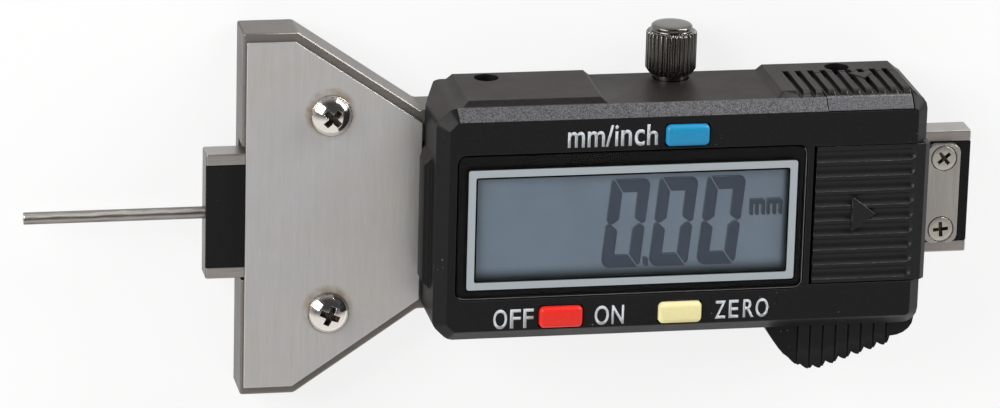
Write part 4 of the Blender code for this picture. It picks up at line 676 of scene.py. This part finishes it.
def make_finishes():
    """Makes the finishes: for steel and plastic a dark, a light and an edge's colour of wear and painted
    highlight, then the roughness.
    """
    steel("plate_steel", (0.555, 0.548, 0.538), (0.675, 0.668, 0.658), (0.90, 0.885, 0.87), 0.40,
        LINES_ALONG_Y, bump=0.05, cloud=0.6, stains=PLATE_STAINS, metallic=0.7, drift=0.6)
    steel("milled_steel", (0.145, 0.130, 0.117), (0.245, 0.226, 0.208), (0.95, 0.935, 0.91), 0.34,
        LINES_ALONG_X, bump=0.07, cloud=0.4, metallic=0.55)
    # The frame's upright sides and ends: darker copies of its steel, painted shade.
    steel("side_steel", (0.090, 0.079, 0.069), (0.150, 0.135, 0.120), (0.80, 0.785, 0.76), 0.34,
        LINES_ALONG_X, bump=0.08, cloud=0.5, metallic=0.6)
    steel("end_steel", (0.050, 0.045, 0.040), (0.085, 0.078, 0.070), (0.80, 0.785, 0.76), 0.36,
        LINES_ALONG_Y, bump=0.08, cloud=0.5, metallic=0.6)
    steel("beam_steel", (0.30, 0.282, 0.264), (0.49, 0.465, 0.44), (0.85, 0.83, 0.80), 0.34, LINES_ALONG_X,
        bump=0.05, cloud=0.4, edge_radius=0.06 * MM, stains=[(BEAM_END, 0.0)],
        stain_reach=(0.7 * MM, 2.6 * MM), metallic=0.8, end=BEAM_END)
    steel("stop_steel", (0.40, 0.378, 0.355), (0.62, 0.595, 0.565), (0.85, 0.83, 0.80), 0.36, LINES_ALONG_Y,
        bump=0.04, cloud=0.8, metallic=0.7)
    steel("nickel", (0.80, 0.765, 0.72), (0.88, 0.85, 0.805), (0.98, 0.96, 0.92), 0.10,
        (2500.0, 2500.0, 2500.0), bump=0.01, edge_radius=0.05 * MM)
    steel("satin_nickel", (0.50, 0.475, 0.42), (0.64, 0.61, 0.555), (0.85, 0.83, 0.77), 0.30,
        (4000.0, 4000.0, 4000.0), bump=0.03, edge_radius=0.04 * MM, metallic=0.8)
    ground_rod("rod_steel", 0.22)
    steel("gunmetal", (0.10, 0.092, 0.084), (0.20, 0.186, 0.172), (0.70, 0.68, 0.65), 0.24, LINES_ALONG_Y,
        bump=0.05, edge_radius=0.06 * MM)
    steel("brass", (0.62, 0.44, 0.19), (0.78, 0.60, 0.30), (0.95, 0.85, 0.6), 0.25, LINES_ALONG_X,
        bump=0.04)
    plastic("silver_trim", (0.37, 0.42, 0.45), (0.41, 0.46, 0.49), (0.55, 0.58, 0.59), 0.42, bump=0.04,
        dust=0.05, edge_radius=0.05 * MM)
    plastic("scale_black", (0.0062, 0.0064, 0.0070), (0.0125, 0.0128, 0.0138), (0.03, 0.03, 0.03), 0.50,
        density=7000.0, bump=0.2, dust=0.15, gloss=0.15)
    plastic("black_plastic", (0.0070, 0.0070, 0.0073), (0.0122, 0.0122, 0.0127), (0.060, 0.060, 0.063),
        0.40, dust=0.5, gloss=0.16)
    plastic("cover_plastic", (0.0085, 0.0085, 0.0088), (0.0150, 0.0150, 0.0155), (0.055, 0.055, 0.058),
        0.38, dust=0.3, gloss=0.25)
    plastic("nose_plastic", (0.006, 0.0056, 0.0052), (0.012, 0.011, 0.010), (0.10, 0.095, 0.09), 0.17,
        density=2500.0, bump=0.5, dust=0.0, gloss=0.6)
    # Brown on the faces that look to the far side: a painted reflection.
    plastic("side_plastic", (0.0135, 0.0105, 0.0092), (0.024, 0.0195, 0.0175), (0.065, 0.060, 0.058), 0.44,
        dust=0.2, gloss=0.12)
    # Pale rims on edges that catch the light: a painted highlight.
    plastic("worn_rim", (0.10, 0.10, 0.103), (0.78, 0.78, 0.80), (0.62, 0.62, 0.64), 0.35, density=2200.0,
        dust=0.0, gloss=0.4, wear_and_highlight=0.3)
    # The band's grain is real; its pale tone is a painted sparkle of light.
    plastic("grained_plastic", (0.010, 0.010, 0.0112), (0.165, 0.165, 0.180), (0.19, 0.19, 0.20), 0.42,
        density=6500.0, bump=0.9, dust=0.2, gloss=0.4)
    plastic("window_black", (0.0030, 0.0030, 0.0033), (0.0042, 0.0042, 0.0045), (0.005, 0.005, 0.005), 0.6,
        bump=0.0, dust=0.0, gloss=0.0)
    # A pale line on the window's near and right front edges: a painted highlight.
    plastic("window_rim", (0.20, 0.205, 0.21), (0.36, 0.37, 0.38), (0.36, 0.37, 0.38), 0.35, density=1500.0,
        bump=0.05, dust=0.0, gloss=0.3)
    for values in (
        ("blue_button", (0.014, 0.255, 0.48), (0.017, 0.275, 0.515), (0.12, 0.47, 0.72), 0.34),
        ("red_button", (0.79, 0.022, 0.015), (0.85, 0.029, 0.019), (0.92, 0.16, 0.11), 0.34),
        ("yellow_button", (0.85, 0.78, 0.40), (0.90, 0.83, 0.44), (0.92, 0.89, 0.64), 0.36),
    ):
        plastic(*values, density=2500.0, bump=0.05, dust=0.1, gloss=0.35)
    plastic("board_green", (0.010, 0.10, 0.03), (0.016, 0.15, 0.05), (0.10, 0.25, 0.12), 0.30, bump=0.1,
        dust=0.05)
    plastic("contact_rubber", (0.10, 0.10, 0.105), (0.18, 0.18, 0.185), (0.2, 0.2, 0.2), 0.60, bump=0.2,
        dust=0.1)
    plastic("print_white", (0.56, 0.60, 0.64), (0.72, 0.76, 0.80), (0.72, 0.76, 0.80), 0.55, density=9000.0,
        bump=0.1, dust=0.0, gloss=0.3)
    # Screw recesses: dark painted shade with a brown tint, and paler rims, partly wear and partly painted
    # glints.
    plastic("recess_shade_black", (0.020, 0.014, 0.009), (0.11, 0.085, 0.060), (0.50, 0.46, 0.40), 0.35,
        density=3000.0, dust=0.0, edge_radius=0.05 * MM, wear_and_highlight=0.8)
    plastic("recess_shade_brown", (0.045, 0.032, 0.019), (0.22, 0.17, 0.105), (0.60, 0.56, 0.46), 0.35,
        density=3000.0, dust=0.0, edge_radius=0.04 * MM, wear_and_highlight=0.6)
    for name, dark, light in (
        ("digit_dark", (0.060, 0.078, 0.112), (0.070, 0.090, 0.127)),
        ("digit_shadow", (0.105, 0.130, 0.160), (0.115, 0.140, 0.170)),
    ):
        plastic(name, dark, light, light, 0.5, bump=0.02, dust=0.0, gloss=0.2)
    # The display's last colour is the painted shadow along its edges.
    display_face("display_face", (0.212, 0.268, 0.335), (0.238, 0.308, 0.368), (0.028, 0.034, 0.036))
    glass("clear_window", (0.97, 0.985, 0.99), 0.0, 1.20)


# Of each solid that is seen in its own shape: the width of its fine edges, and its finishes.
SEEN_SOLIDS = {
    "base_frame": (0.07 * MM, "milled_steel", "side_steel", "end_steel"),
    "base_cover_plate": (0.06 * MM, "plate_steel"),
    "beam": (0.05 * MM, "beam_steel"),
    "scale_strip": (0.03 * MM, "scale_black"),
    "stop_plate": (0.10 * MM, "stop_steel"),
    "front_housing": (0.0, "black_plastic", "grained_plastic", "side_plastic", "nose_plastic"),
    "display_window": (0.10 * MM, "clear_window", "window_black", "window_rim"),
    "lcd_frame": (0.04 * MM, "silver_trim"),
    "lcd_glass": (0.0, "display_face"),
    "battery_cover": (0.13 * MM, "cover_plastic", "worn_rim"),
    "port_cover": (0.05 * MM, "black_plastic", "grained_plastic", "side_plastic", "nose_plastic",
                   "worn_rim"),
}
# Places of finishes in those lists. A rounded edge takes the finish beside it, or the pale rim named for its
# solid, which is a painted highlight.
MAIN = 0
FRAME_SHADED_SIDE, FRAME_SHADED_END = 1, 2
BAND_GRAIN_SPARKLE, FAR_SIDE_REFLECTION, NOSE, PORT_HIGHLIGHT_RIM = 1, 2, 3, 4
COVER_HIGHLIGHT_RIM = 1
WINDOW_BLACK, WINDOW_HIGHLIGHT_LINE = 1, 2
HIGHLIGHT_RIMS = {"battery_cover": COVER_HIGHLIGHT_RIM, "display_window": WINDOW_HIGHLIGHT_LINE, "port_cover": PORT_HIGHLIGHT_RIM}

BUTTON_FINISHES = {
    "button_unit": "blue_button", "button_power": "red_button", "button_zero": "yellow_button",
}

# Finishes of the solids that only a view from behind or an opened cover shows.
INNER_FINISHES = {
    "brass": ("gib_strip", "dome_unit", "dome_power", "dome_zero"),
    "nickel": ("gib_set_screw_1", "gib_set_screw_2", "button_cell", "battery_contact_minus",
               "battery_contact_plus", *(f"housing_screw_{number}" for number in range(1, 5))),
    "contact_rubber": ("zebra_strip",),
    "board_green": ("circuit_board",),
    "black_plastic": ("data_connector",),
}

# The housing's far side: its grained band, and its thumb pads, which stand out beyond the band.
BAND_WAY = Vector((0.0, 1.0, 1.0)).normalized()
BAND_MATCH = 0.999
PAD_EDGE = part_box("front_housing")[1][1] - 0.63 * MM
# How much of a face's normal lies along an axis: a clear part, hardly any, or nearly all.
STEEP = 0.3
UPRIGHT = 0.1
STRAIGHT = 0.9
FRAME_CORNER = 0.3 * MM


def paint_far_side(piece):
    """Grain with a painted sparkle on the band, gloss on the pads' slopes, and a painted brown reflection on
    the faces that look to the far side.
    """
    for face in piece.data.polygons:
        normal, place = face.normal, face.center
        beyond = place.y > PAD_EDGE + MERGE_DISTANCE
        # The port cover's pale rim, a painted highlight, stays only on its near faces that look up.
        if face.material_index == PORT_HIGHLIGHT_RIM:
            if beyond or normal.z < STEEP:
                face.material_index = MAIN
        elif normal.dot(BAND_WAY) > BAND_MATCH and not beyond:
            face.material_index = BAND_GRAIN_SPARKLE
        elif beyond and normal.y > STEEP and normal.z > STEEP:
            face.material_index = NOSE
        elif normal.y > 1.0 - STEEP and normal.z < STEEP:
            face.material_index = FAR_SIDE_REFLECTION


def paint_frame_sides(piece):
    """Painted shade: darker steel on the frame's upright sides, and the darkest on its ends."""
    for face in piece.data.polygons:
        if abs(face.normal.z) < STEEP:
            face.material_index = FRAME_SHADED_END if face.normal.x < STEEP - 1.0 else FRAME_SHADED_SIDE


def paint_battery_cover(piece):
    """Keeps the pale rims, a painted highlight, only on the edges of the lands across the cover's front that
    look up and to the far side.
    """
    for face in piece.data.polygons:
        if face.material_index == COVER_HIGHLIGHT_RIM and (face.normal.y < UPRIGHT or face.normal.z < UPRIGHT):
            face.material_index = MAIN


def paint_window(piece):
    """Black on the window's own sides, and a pale line, a painted highlight, on its near and right front
    edges only.
    """
    low, high = corners("display_window")
    for face in piece.data.polygons:
        if abs(face.normal.z) < UPRIGHT:
            face.material_index = WINDOW_BLACK
        elif face.material_index == WINDOW_HIGHLIGHT_LINE:
            pale = face.center.y < low.y + FRAME_CORNER or face.center.x > high.x - FRAME_CORNER
            face.material_index = WINDOW_HIGHLIGHT_LINE if pale and face.normal.z > 0.0 else WINDOW_BLACK


def round_frame_corners(piece):
    """Rounds the four inner corners of the display's silver frame."""
    inner_low, inner_high = LCD_OPENING

    def inner_corner(edge):
        first, second = ends(piece, edge)
        upright = (first.xy - second.xy).length < MERGE_DISTANCE
        inside_x = inner_low.x - FRAME_CORNER < first.x < inner_high.x + FRAME_CORNER
        inside_y = inner_low.y - FRAME_CORNER < first.y < inner_high.y + FRAME_CORNER
        return upright and inside_x and inside_y

    round_picked(piece, inner_corner, FRAME_CORNER, segments=4)


def part_pads(piece):
    """Cuts the port cover where its pads begin, so that both sides can have their own finish."""
    cut_at(piece, (0.0, PAD_EDGE, 0.0), (0.0, 1.0, 0.0))


# What is cut or rounded before a solid's fine edges, and what is painted after them.
CUTS = {"lcd_frame": round_frame_corners, "port_cover": part_pads}
PAINTS = {
    "base_frame": paint_frame_sides,
    "front_housing": paint_far_side,
    "port_cover": paint_far_side,
    "battery_cover": paint_battery_cover,
    "display_window": paint_window,
}
FACETED = ("front_housing", "port_cover")


def dress_seen_solids():
    """Gives each seen solid a merged copy with fine edges and its finishes."""
    for node, (edge, *finishes) in SEEN_SOLIDS.items():
        piece = merged_copy(node, node + "_finished")
        lay_finishes(piece, finishes)
        if node in CUTS:
            CUTS[node](piece)
        if edge:
            round_edges(piece, edge, finish_index=HIGHLIGHT_RIMS.get(node, ITS_OWN_FINISH))
        smooth(piece, FACET_ANGLE if node in FACETED else SHARP_ANGLE, weighted=True)
        if node in PAINTS:
            PAINTS[node](piece)
        finish_piece(piece, None, node)


BUTTON_ROUND = 0.62 * MM
BUTTON_STEPS = 7
BUTTON_SUNK = 0.20 * MM


def make_button(node, finish):
    """A button whose part above the housing is a block with softly rounded edges and corners."""
    piece = merged_copy(node, node + "_finished")
    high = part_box(node)[1][2]
    centre = centre_of(node)
    foot = high - 2 * BUTTON_ROUND - BUTTON_SUNK
    cut_at(piece, (centre.x, centre.y, foot), (0.0, 0.0, 1.0), clear_outer=True, use_fill=True)
    vertices = piece.data.vertices
    places = [
        vertices[index].co for face in piece.data.polygons for index in face.vertices
        if face.normal.z > STRAIGHT and face.center.z > foot - MERGE_DISTANCE
    ]
    sizes = [max(place[axis] for place in places) - min(place[axis] for place in places) for axis in (0, 1)]
    middle = (centre.x, centre.y, (foot + high) / 2)
    cap = start_piece(bpy.ops.mesh.primitive_cube_add, size=1.0, location=middle)
    cap.scale = (*sizes, high - foot)
    apply_place(cap)
    round_edges(cap, BUTTON_ROUND, segments=BUTTON_STEPS)
    join_pieces([piece, cap])
    smooth(piece, BUTTON_ANGLE)
    finish_piece(piece, [finish], node)


def finish_inner_solids():
    """Gives each inner solid its finish."""
    for finish, nodes in INNER_FINISHES.items():
        for node in nodes:
            lay_finishes(frame["nodes"][node], [finish])


# A screw head and its shank. Its cross recess is given as shares of the head's diameter.
Head = namedtuple("Head", "radius height shank arm_width arm_reach depth pit finish recess_finish")
PAN_HEAD = Head(2.5 * MM, 1.62 * MM, 1.25 * MM, 0.175, 0.58, 0.24, 0.13, "nickel", "recess_shade_black")
FLAT_HEAD = Head(1.54 * MM, 0.3 * MM, 0.7 * MM, 0.17, 0.72, 0.20, 0.14, "satin_nickel", "recess_shade_brown")
HEAD_SIDES = 96
PAN_DOME = 1.28 * MM
PAN_GAP = 0.02 * MM
FLAT_RIM = 0.06 * MM
RECESS_FOOT = (0.72, 0.72, 1.0)
RECESS_RISE = 0.5 * MM
# The pit in a recess's middle: its sides, and its height and the place of its middle as shares of the depth.
PIT_SIDES = 16
PIT_HEIGHT = 1.2
PIT_MIDDLE = 0.7
# Turn of each screw's recess in degrees.
PAN_TURNS = {"base_plate_screw_1": 45.0, "base_plate_screw_2": 67.0}
FLAT_TURNS = {"stop_plate_screw_1": 40.0, "stop_plate_screw_2": 5.0}


def cut_cross(piece, centre, top, turn, head):
    """Cuts a cross recess with leaning walls and a pit in its middle into a screw head."""
    shares = (head.arm_width, head.arm_reach, head.depth, head.pit)
    width, reach, depth, pit = (2 * head.radius * share for share in shares)
    tools = []
    for quarter in (0.0, 90.0):
        place = (centre.x, centre.y, top + (RECESS_RISE - depth) / 2)
        arm = start_piece(bpy.ops.mesh.primitive_cube_add, size=1.0, location=place)
        arm.scale = (reach, width, depth + RECESS_RISE)
        arm.rotation_euler.z = math.radians(turn + quarter)
        pick(arm, "FACE", looks_down)
        bpy.ops.transform.resize(value=RECESS_FOOT, orient_type="LOCAL")
        leave_edit()
        apply_place(arm)
        tools.append(arm)
    tools.append(start_piece(
        bpy.ops.mesh.primitive_cone_add, vertices=PIT_SIDES, radius1=0.0, radius2=pit,
        depth=depth * PIT_HEIGHT, location=(centre.x, centre.y, top - depth * PIT_MIDDLE),
    ))
    for tool in tools:
        # The recess walls take the dark recess finish, which paints their shade.
        tool.data.materials.append(FINISHES[head.recess_finish])
        step = piece.modifiers.new("recess", "BOOLEAN")
        step.operation = "DIFFERENCE"
        step.solver = "EXACT"
        step.material_mode = "TRANSFER"
        step.object = tool
        apply_modifiers(piece)
        bpy.data.objects.remove(tool, do_unlink=True)


def turn_pan_head(centre, low):
    """A pan head: a ball cut flat, with a short upright rim under it."""
    ball = (PAN_HEAD.radius ** 2 + PAN_DOME ** 2) / (2 * PAN_DOME)
    high = low + PAN_HEAD.height
    screw = start_piece(
        bpy.ops.mesh.primitive_uv_sphere_add, segments=HEAD_SIDES, ring_count=HEAD_SIDES, radius=ball,
        location=(centre.x, centre.y, high - ball),
    )
    apply_place(screw)
    foot = (centre.x, centre.y, high - PAN_DOME)
    cut_at(screw, foot, (0.0, 0.0, 1.0), clear_inner=True, use_fill=True)
    pick(screw, "FACE", looks_down)
    extrude(PAN_DOME - PAN_HEAD.height)
    leave_edit()
    return screw


def turn_flat_head(centre, low):
    """A flat head with a softened rim."""
    screw = start_piece(
        bpy.ops.mesh.primitive_cylinder_add, vertices=HEAD_SIDES, radius=FLAT_HEAD.radius,
        depth=FLAT_HEAD.height, location=(centre.x, centre.y, low + FLAT_HEAD.height / 2),
    )
    apply_place(screw)
    top = low + FLAT_HEAD.height - MERGE_DISTANCE
    round_picked(screw, lambda edge: all(place.z > top for place in ends(screw, edge)), FLAT_RIM)
    return screw


def finish_screw(screw, node, low, turn, head):
    """Gives a turned head its shank and its recess, and lets it stand for a solid."""
    screw.name = node + "_turned"
    pick(screw, "FACE", looks_down)
    bpy.ops.mesh.inset(thickness=head.radius - head.shank)
    extrude(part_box(node)[0][2] - low)
    leave_edit()
    screw.data.materials.append(FINISHES[head.finish])
    cut_cross(screw, centre_of(node), low + head.height, turn, head)
    smooth(screw, HEAD_ANGLE)
    finish_piece(screw, None, node)


def make_screws():
    """The two pan head screws of the cover plate and the two flat ones of the stop plate."""
    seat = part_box("base_cover_plate")[1][2] + PAN_GAP
    for node, turn in PAN_TURNS.items():
        finish_screw(turn_pan_head(centre_of(node), seat), node, seat, turn, PAN_HEAD)
    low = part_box("stop_plate")[1][2] - FLAT_HEAD.height
    for node, turn in FLAT_TURNS.items():
        finish_screw(turn_flat_head(centre_of(node), low), node, low, turn, FLAT_HEAD)


RIDGES = 30
RIDGE_STEPS = 8
SAME_RADIUS = MERGE_DISTANCE / 10
RIDGE_PROFILE = (0.0, 0.12, 0.62, 0.94, 1.0, 0.94, 0.62, 0.12)
# Stations of the lock screw in millimetres: distance from its inner end, radius, and depth of the valleys
# between its ridges.
LOCK_STATIONS = (
    (4.47, 1.35, 0.0), (4.47, 2.15, 0.0), (6.12, 2.15, 0.0), (6.27, 2.02, 0.0),
    (6.27, 2.65, 0.0), (6.42, 2.80, 0.0), (6.90, 3.13, 0.30), (7.05, 3.15, 0.32),
    (11.30, 3.15, 0.32), (11.52, 3.05, 0.24), (11.67, 2.82, 0.0), (11.67, 2.42, 0.0),
    (11.80, 2.36, 0.0), (11.90, 2.50, 0.0), (12.12, 2.55, 0.0), (12.25, 2.51, 0.0),
    (12.36, 2.42, 0.0), (12.43, 2.30, 0.0), (12.47, 2.12, 0.0), (12.47, 1.20, 0.0),
)


def make_lock_screw():
    """The knurled lock screw, turned from a circle station by station along its axis."""
    node = "lock_screw"
    low, high = corners(node)
    sides = RIDGES * RIDGE_STEPS
    radius = LOCK_STATIONS[0][1] * MM
    screw = start_piece(bpy.ops.mesh.primitive_circle_add, vertices=sides, radius=radius, fill_type="NGON")
    screw.name = "lock_screw_turned"
    height = 0.0
    before = [radius] * RIDGE_STEPS
    for reach, width, valley in LOCK_STATIONS:
        top = height - MERGE_DISTANCE
        pick(screw, "FACE", lambda face: len(face.vertices) == sides and face.center.z > top)
        extrude(reach * MM - height)
        leave_edit()
        height = reach * MM
        top_face = max((face for face in screw.data.polygons if len(face.vertices) == sides),
                       key=lambda face: (face.center.z, face.index))
        ring = set(top_face.vertices)
        after = [(width - valley * (1.0 - share)) * MM for share in RIDGE_PROFILE]
        for kind in range(RIDGE_STEPS):
            if abs(after[kind] - before[kind]) < SAME_RADIUS:
                continue
            chosen = {index for index in ring if ridge_step(screw.data.vertices[index].co) == kind}
            pick(screw, "VERT", lambda vertex: vertex.index in chosen)
            factor = after[kind] / before[kind]
            bpy.ops.transform.resize(value=(factor, factor, 1.0), center_override=(0.0, 0.0, height))
            leave_edit()
        before = after
    clean(screw)
    screw.rotation_euler.x = -math.pi / 2
    screw.location = ((low.x + high.x) / 2, low.y, (low.z + high.z) / 2)
    apply_place(screw)
    smooth(screw, LOCK_ANGLE)
    finish_piece(screw, ["gunmetal"], node)


def ridge_step(place):
    """Which of a ridge's steps a point on the lock screw belongs to."""
    turn = math.atan2(place.y, place.x) / math.tau * RIDGES * RIDGE_STEPS
    return round(turn) % RIDGE_STEPS


ROD_SIDES = 64
ROD_CHAMFER = 0.12 * MM


def make_rod():
    """The depth rod with a small chamfer at its tip."""
    low, high = corners("depth_rod")
    rod = start_piece(
        bpy.ops.mesh.primitive_cylinder_add, vertices=ROD_SIDES, radius=(high.z - low.z) / 2,
        depth=high.x - low.x, location=(low + high) / 2, rotation=(0.0, math.pi / 2, 0.0),
    )
    rod.name = "depth_rod_ground"
    apply_place(rod)
    tip = low.x + MERGE_DISTANCE
    round_picked(rod, lambda edge: all(place.x < tip for place in ends(rod, edge)), ROD_CHAMFER)
    smooth(rod, ROD_ANGLE)
    finish_piece(rod, ["rod_steel"], "depth_rod")


BORDER_INSET = 0.1 * MM
BORDER_LAYER = (0.06 * MM, 0.01 * MM)


def make_window_border():
    """Black paint under the clear window, from its edge to the silver frame."""
    low, high = corners("display_window")
    inner_low, inner_high = LCD_OPENING
    left, right = low.x + BORDER_INSET, high.x - BORDER_INSET
    near, far = low.y + BORDER_INSET, high.y - BORDER_INSET
    outer = [(left, near), (right, near), (right, far), (left, far)]
    inner = [
        (inner_low.x, inner_low.y), (inner_low.x, inner_high.y),
        (inner_high.x, inner_high.y), (inner_high.x, inner_low.y),
    ]
    deep, shallow = BORDER_LAYER
    border = flat_shape("window_border", [outer, inner], low.z - deep, low.z - shallow)
    finish_piece(border, ["window_black"], "display_window", stands_for=False)


def shifted(points, shift):
    """Points of the display in metres, moved by a shift."""
    return [((x + shift[0]) * MM, (y + shift[1]) * MM) for x, y in points]


def slanted(points, start, shift):
    """Points of the display leant over like its digits, in metres."""
    return shifted([(start + x + DIGIT_SLANT * y, y) for x, y in points], shift)


def unit_outline(legs):
    """Outline of one letter m of the display, from the middles of its three legs."""
    first, middle, last = legs
    half = UNIT_LEG_HALF
    points = [(first - half, UNIT_HIGH)]
    for leg in legs:
        if leg != first:
            points.append((leg - half, UNIT_ARCH))
        points += [(leg - half, UNIT_LOW), (leg + half, UNIT_LOW)]
        if leg != last:
            points.append((leg + half, UNIT_ARCH))
    points.append((last + half, UNIT_HIGH - half))
    points.append((last, UNIT_HIGH))
    return points


def make_digits():
    """The display's digits, point and unit, and the soft shadow that they throw on its back."""
    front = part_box("lcd_glass")[1][2]
    for label, shift, level, finish in DIGIT_LAYERS:
        low = front + level * DIGIT_THICKNESS
        outlines = [slanted(stroke, start, shift) for start in DIGIT_STARTS for stroke in DIGIT_STROKES]
        outlines.append(slanted(POINT_OUTLINE, DIGIT_STARTS[0], shift))
        outlines += [shifted(unit_outline(legs), shift) for legs in UNIT_LEGS]
        for index, outline in enumerate(outlines):
            stroke = flat_shape(f"{label}_{index + 1}", [outline], low, low + DIGIT_THICKNESS)
            finish_piece(stroke, [finish], "lcd_glass", stands_for=False)


def print_letter(letter, left, right, bottom, top, front):
    """One printed letter, fitted to its edges."""
    piece = start_piece(bpy.ops.object.text_add)
    piece.data.body = letter
    piece.data.resolution_u = PRINT_CURVES
    piece.data.offset = PRINT_BOLD
    bpy.ops.object.convert(target="MESH")
    piece = bpy.context.active_object
    places = [vertex.co for vertex in piece.data.vertices]
    low_x = min(place.x for place in places)
    low_y = min(place.y for place in places)
    size_x = (right - left) * MM / (max(place.x for place in places) - low_x)
    size_y = (top - bottom) * MM / (max(place.y for place in places) - low_y)
    piece.scale = (size_x, size_y, 1.0)
    piece.location = (left * MM - low_x * size_x, bottom * MM - low_y * size_y, front - PRINT_SINK)
    apply_place(piece)
    return piece


def make_words():
    """Printed words beside the buttons."""
    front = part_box("front_housing")[1][2]
    for name, letters in WORDS.items():
        word = join_pieces([print_letter(*letter, front) for letter in letters])
        word.name = name
        pick(word)
        extrude(PRINT_SINK + PRINT_THICKNESS)
        bpy.ops.mesh.select_all(action="SELECT")
        bpy.ops.mesh.normals_make_consistent(inside=False)
        leave_edit()
        finish_piece(word, ["print_white"], "front_housing", stands_for=False)


def make_floor():
    """A plain pale floor that keeps the soft shadow and stays white in the picture and in reflections."""
    middle = (0.0, 0.0, -FLOOR_DROP)
    floor = start_piece(bpy.ops.mesh.primitive_plane_add, size=FLOOR_SIZE, location=middle)
    floor.name = "studio_floor"
    material = bpy.data.materials.new("studio_floor")
    material.use_nodes = True
    tree = material.node_tree
    shader = tree.nodes["Principled BSDF"]
    feed(tree, shader, Base_Color=FLOOR_COLOUR, Roughness=FLOOR_ROUGHNESS, Specular_IOR_Level=0.0)
    glow = put(tree, "Emission", Color=WHITE, Strength=1.0)
    path = tree.nodes.new("ShaderNodeLightPath").outputs
    seen = calc(tree, "MAXIMUM", path["Is Camera Ray"], path["Is Glossy Ray"])
    seen = calc(tree, "MAXIMUM", seen, path["Is Transmission Ray"])
    mixed = tree.nodes.new("ShaderNodeMixShader")
    join(tree, calc(tree, "MULTIPLY", seen, FLOOR_GLOW), mixed.inputs["Fac"])
    tree.links.new(shader.outputs["BSDF"], mixed.inputs[1])
    tree.links.new(glow.outputs["Emission"], mixed.inputs[2])
    tree.links.new(mixed.outputs["Shader"], tree.nodes["Material Output"].inputs["Surface"])
    floor.data.materials.append(material)


def make_world():
    """Soft light from all round: a pale wall on the near side, a dim far horizon and a dark ceiling."""
    world = bpy.data.worlds.new("studio_world")
    world.use_nodes = True
    tree = world.node_tree
    way = tree.nodes.new("ShaderNodeTexCoord").outputs["Generated"]
    place = put(tree, "SeparateXYZ", Vector=way).outputs
    near = ramp(tree, place["Y"], *NEAR_WALL_FADE, soft=True)
    low = ramp(tree, place["Z"], *FAR_HORIZON_FADE, soft=True)
    above = tint(tree, ramp(tree, place["Y"], *FAR_CEILING_FADE, soft=True), CEILING, FAR_CEILING)
    shade = tint(tree, near, tint(tree, low, above, FAR_HORIZON), NEAR_WALL)
    feed(tree, tree.nodes["Background"], Color=shade)
    bpy.context.scene.world = world


def make_lamp(name, place, width, height, power):
    """A soft box that faces the gauge."""
    lamp = bpy.data.lights.new(name, "AREA")
    lamp.shape = "RECTANGLE"
    lamp.size = width
    lamp.size_y = height
    lamp.energy = power
    holder = add_object(name, lamp)
    holder.location = place
    holder.rotation_euler = (-Vector(place)).to_track_quat("-Z", "Y").to_euler()


def make_camera():
    """The camera of the photograph."""
    camera = bpy.data.cameras.new("photo_camera")
    camera.lens = CAMERA_LENS
    camera.sensor_width = CAMERA_SENSOR
    camera.clip_start = CLIP_NEAR
    camera.clip_end = CLIP_FAR
    holder = add_object("photo_camera", camera)
    turn = Matrix((CAMERA_RIGHT, CAMERA_UP, CAMERA_BACK)).transposed().to_4x4()
    holder.matrix_world = Matrix.Translation(CAMERA_PLACE) @ turn
    bpy.context.scene.camera = holder


def main():
    """Builds the whole scene."""
    make_finishes()
    dress_seen_solids()
    finish_inner_solids()
    for node, finish in BUTTON_FINISHES.items():
        make_button(node, finish)
    make_screws()
    make_lock_screw()
    make_rod()
    make_window_border()
    make_digits()
    make_words()
    make_floor()
    make_world()
    for name, (place, width, height, power) in SOFT_BOXES.items():
        make_lamp(name, place, width, height, power)
    make_camera()
    bpy.context.scene.view_settings.view_transform = "Standard"


main()
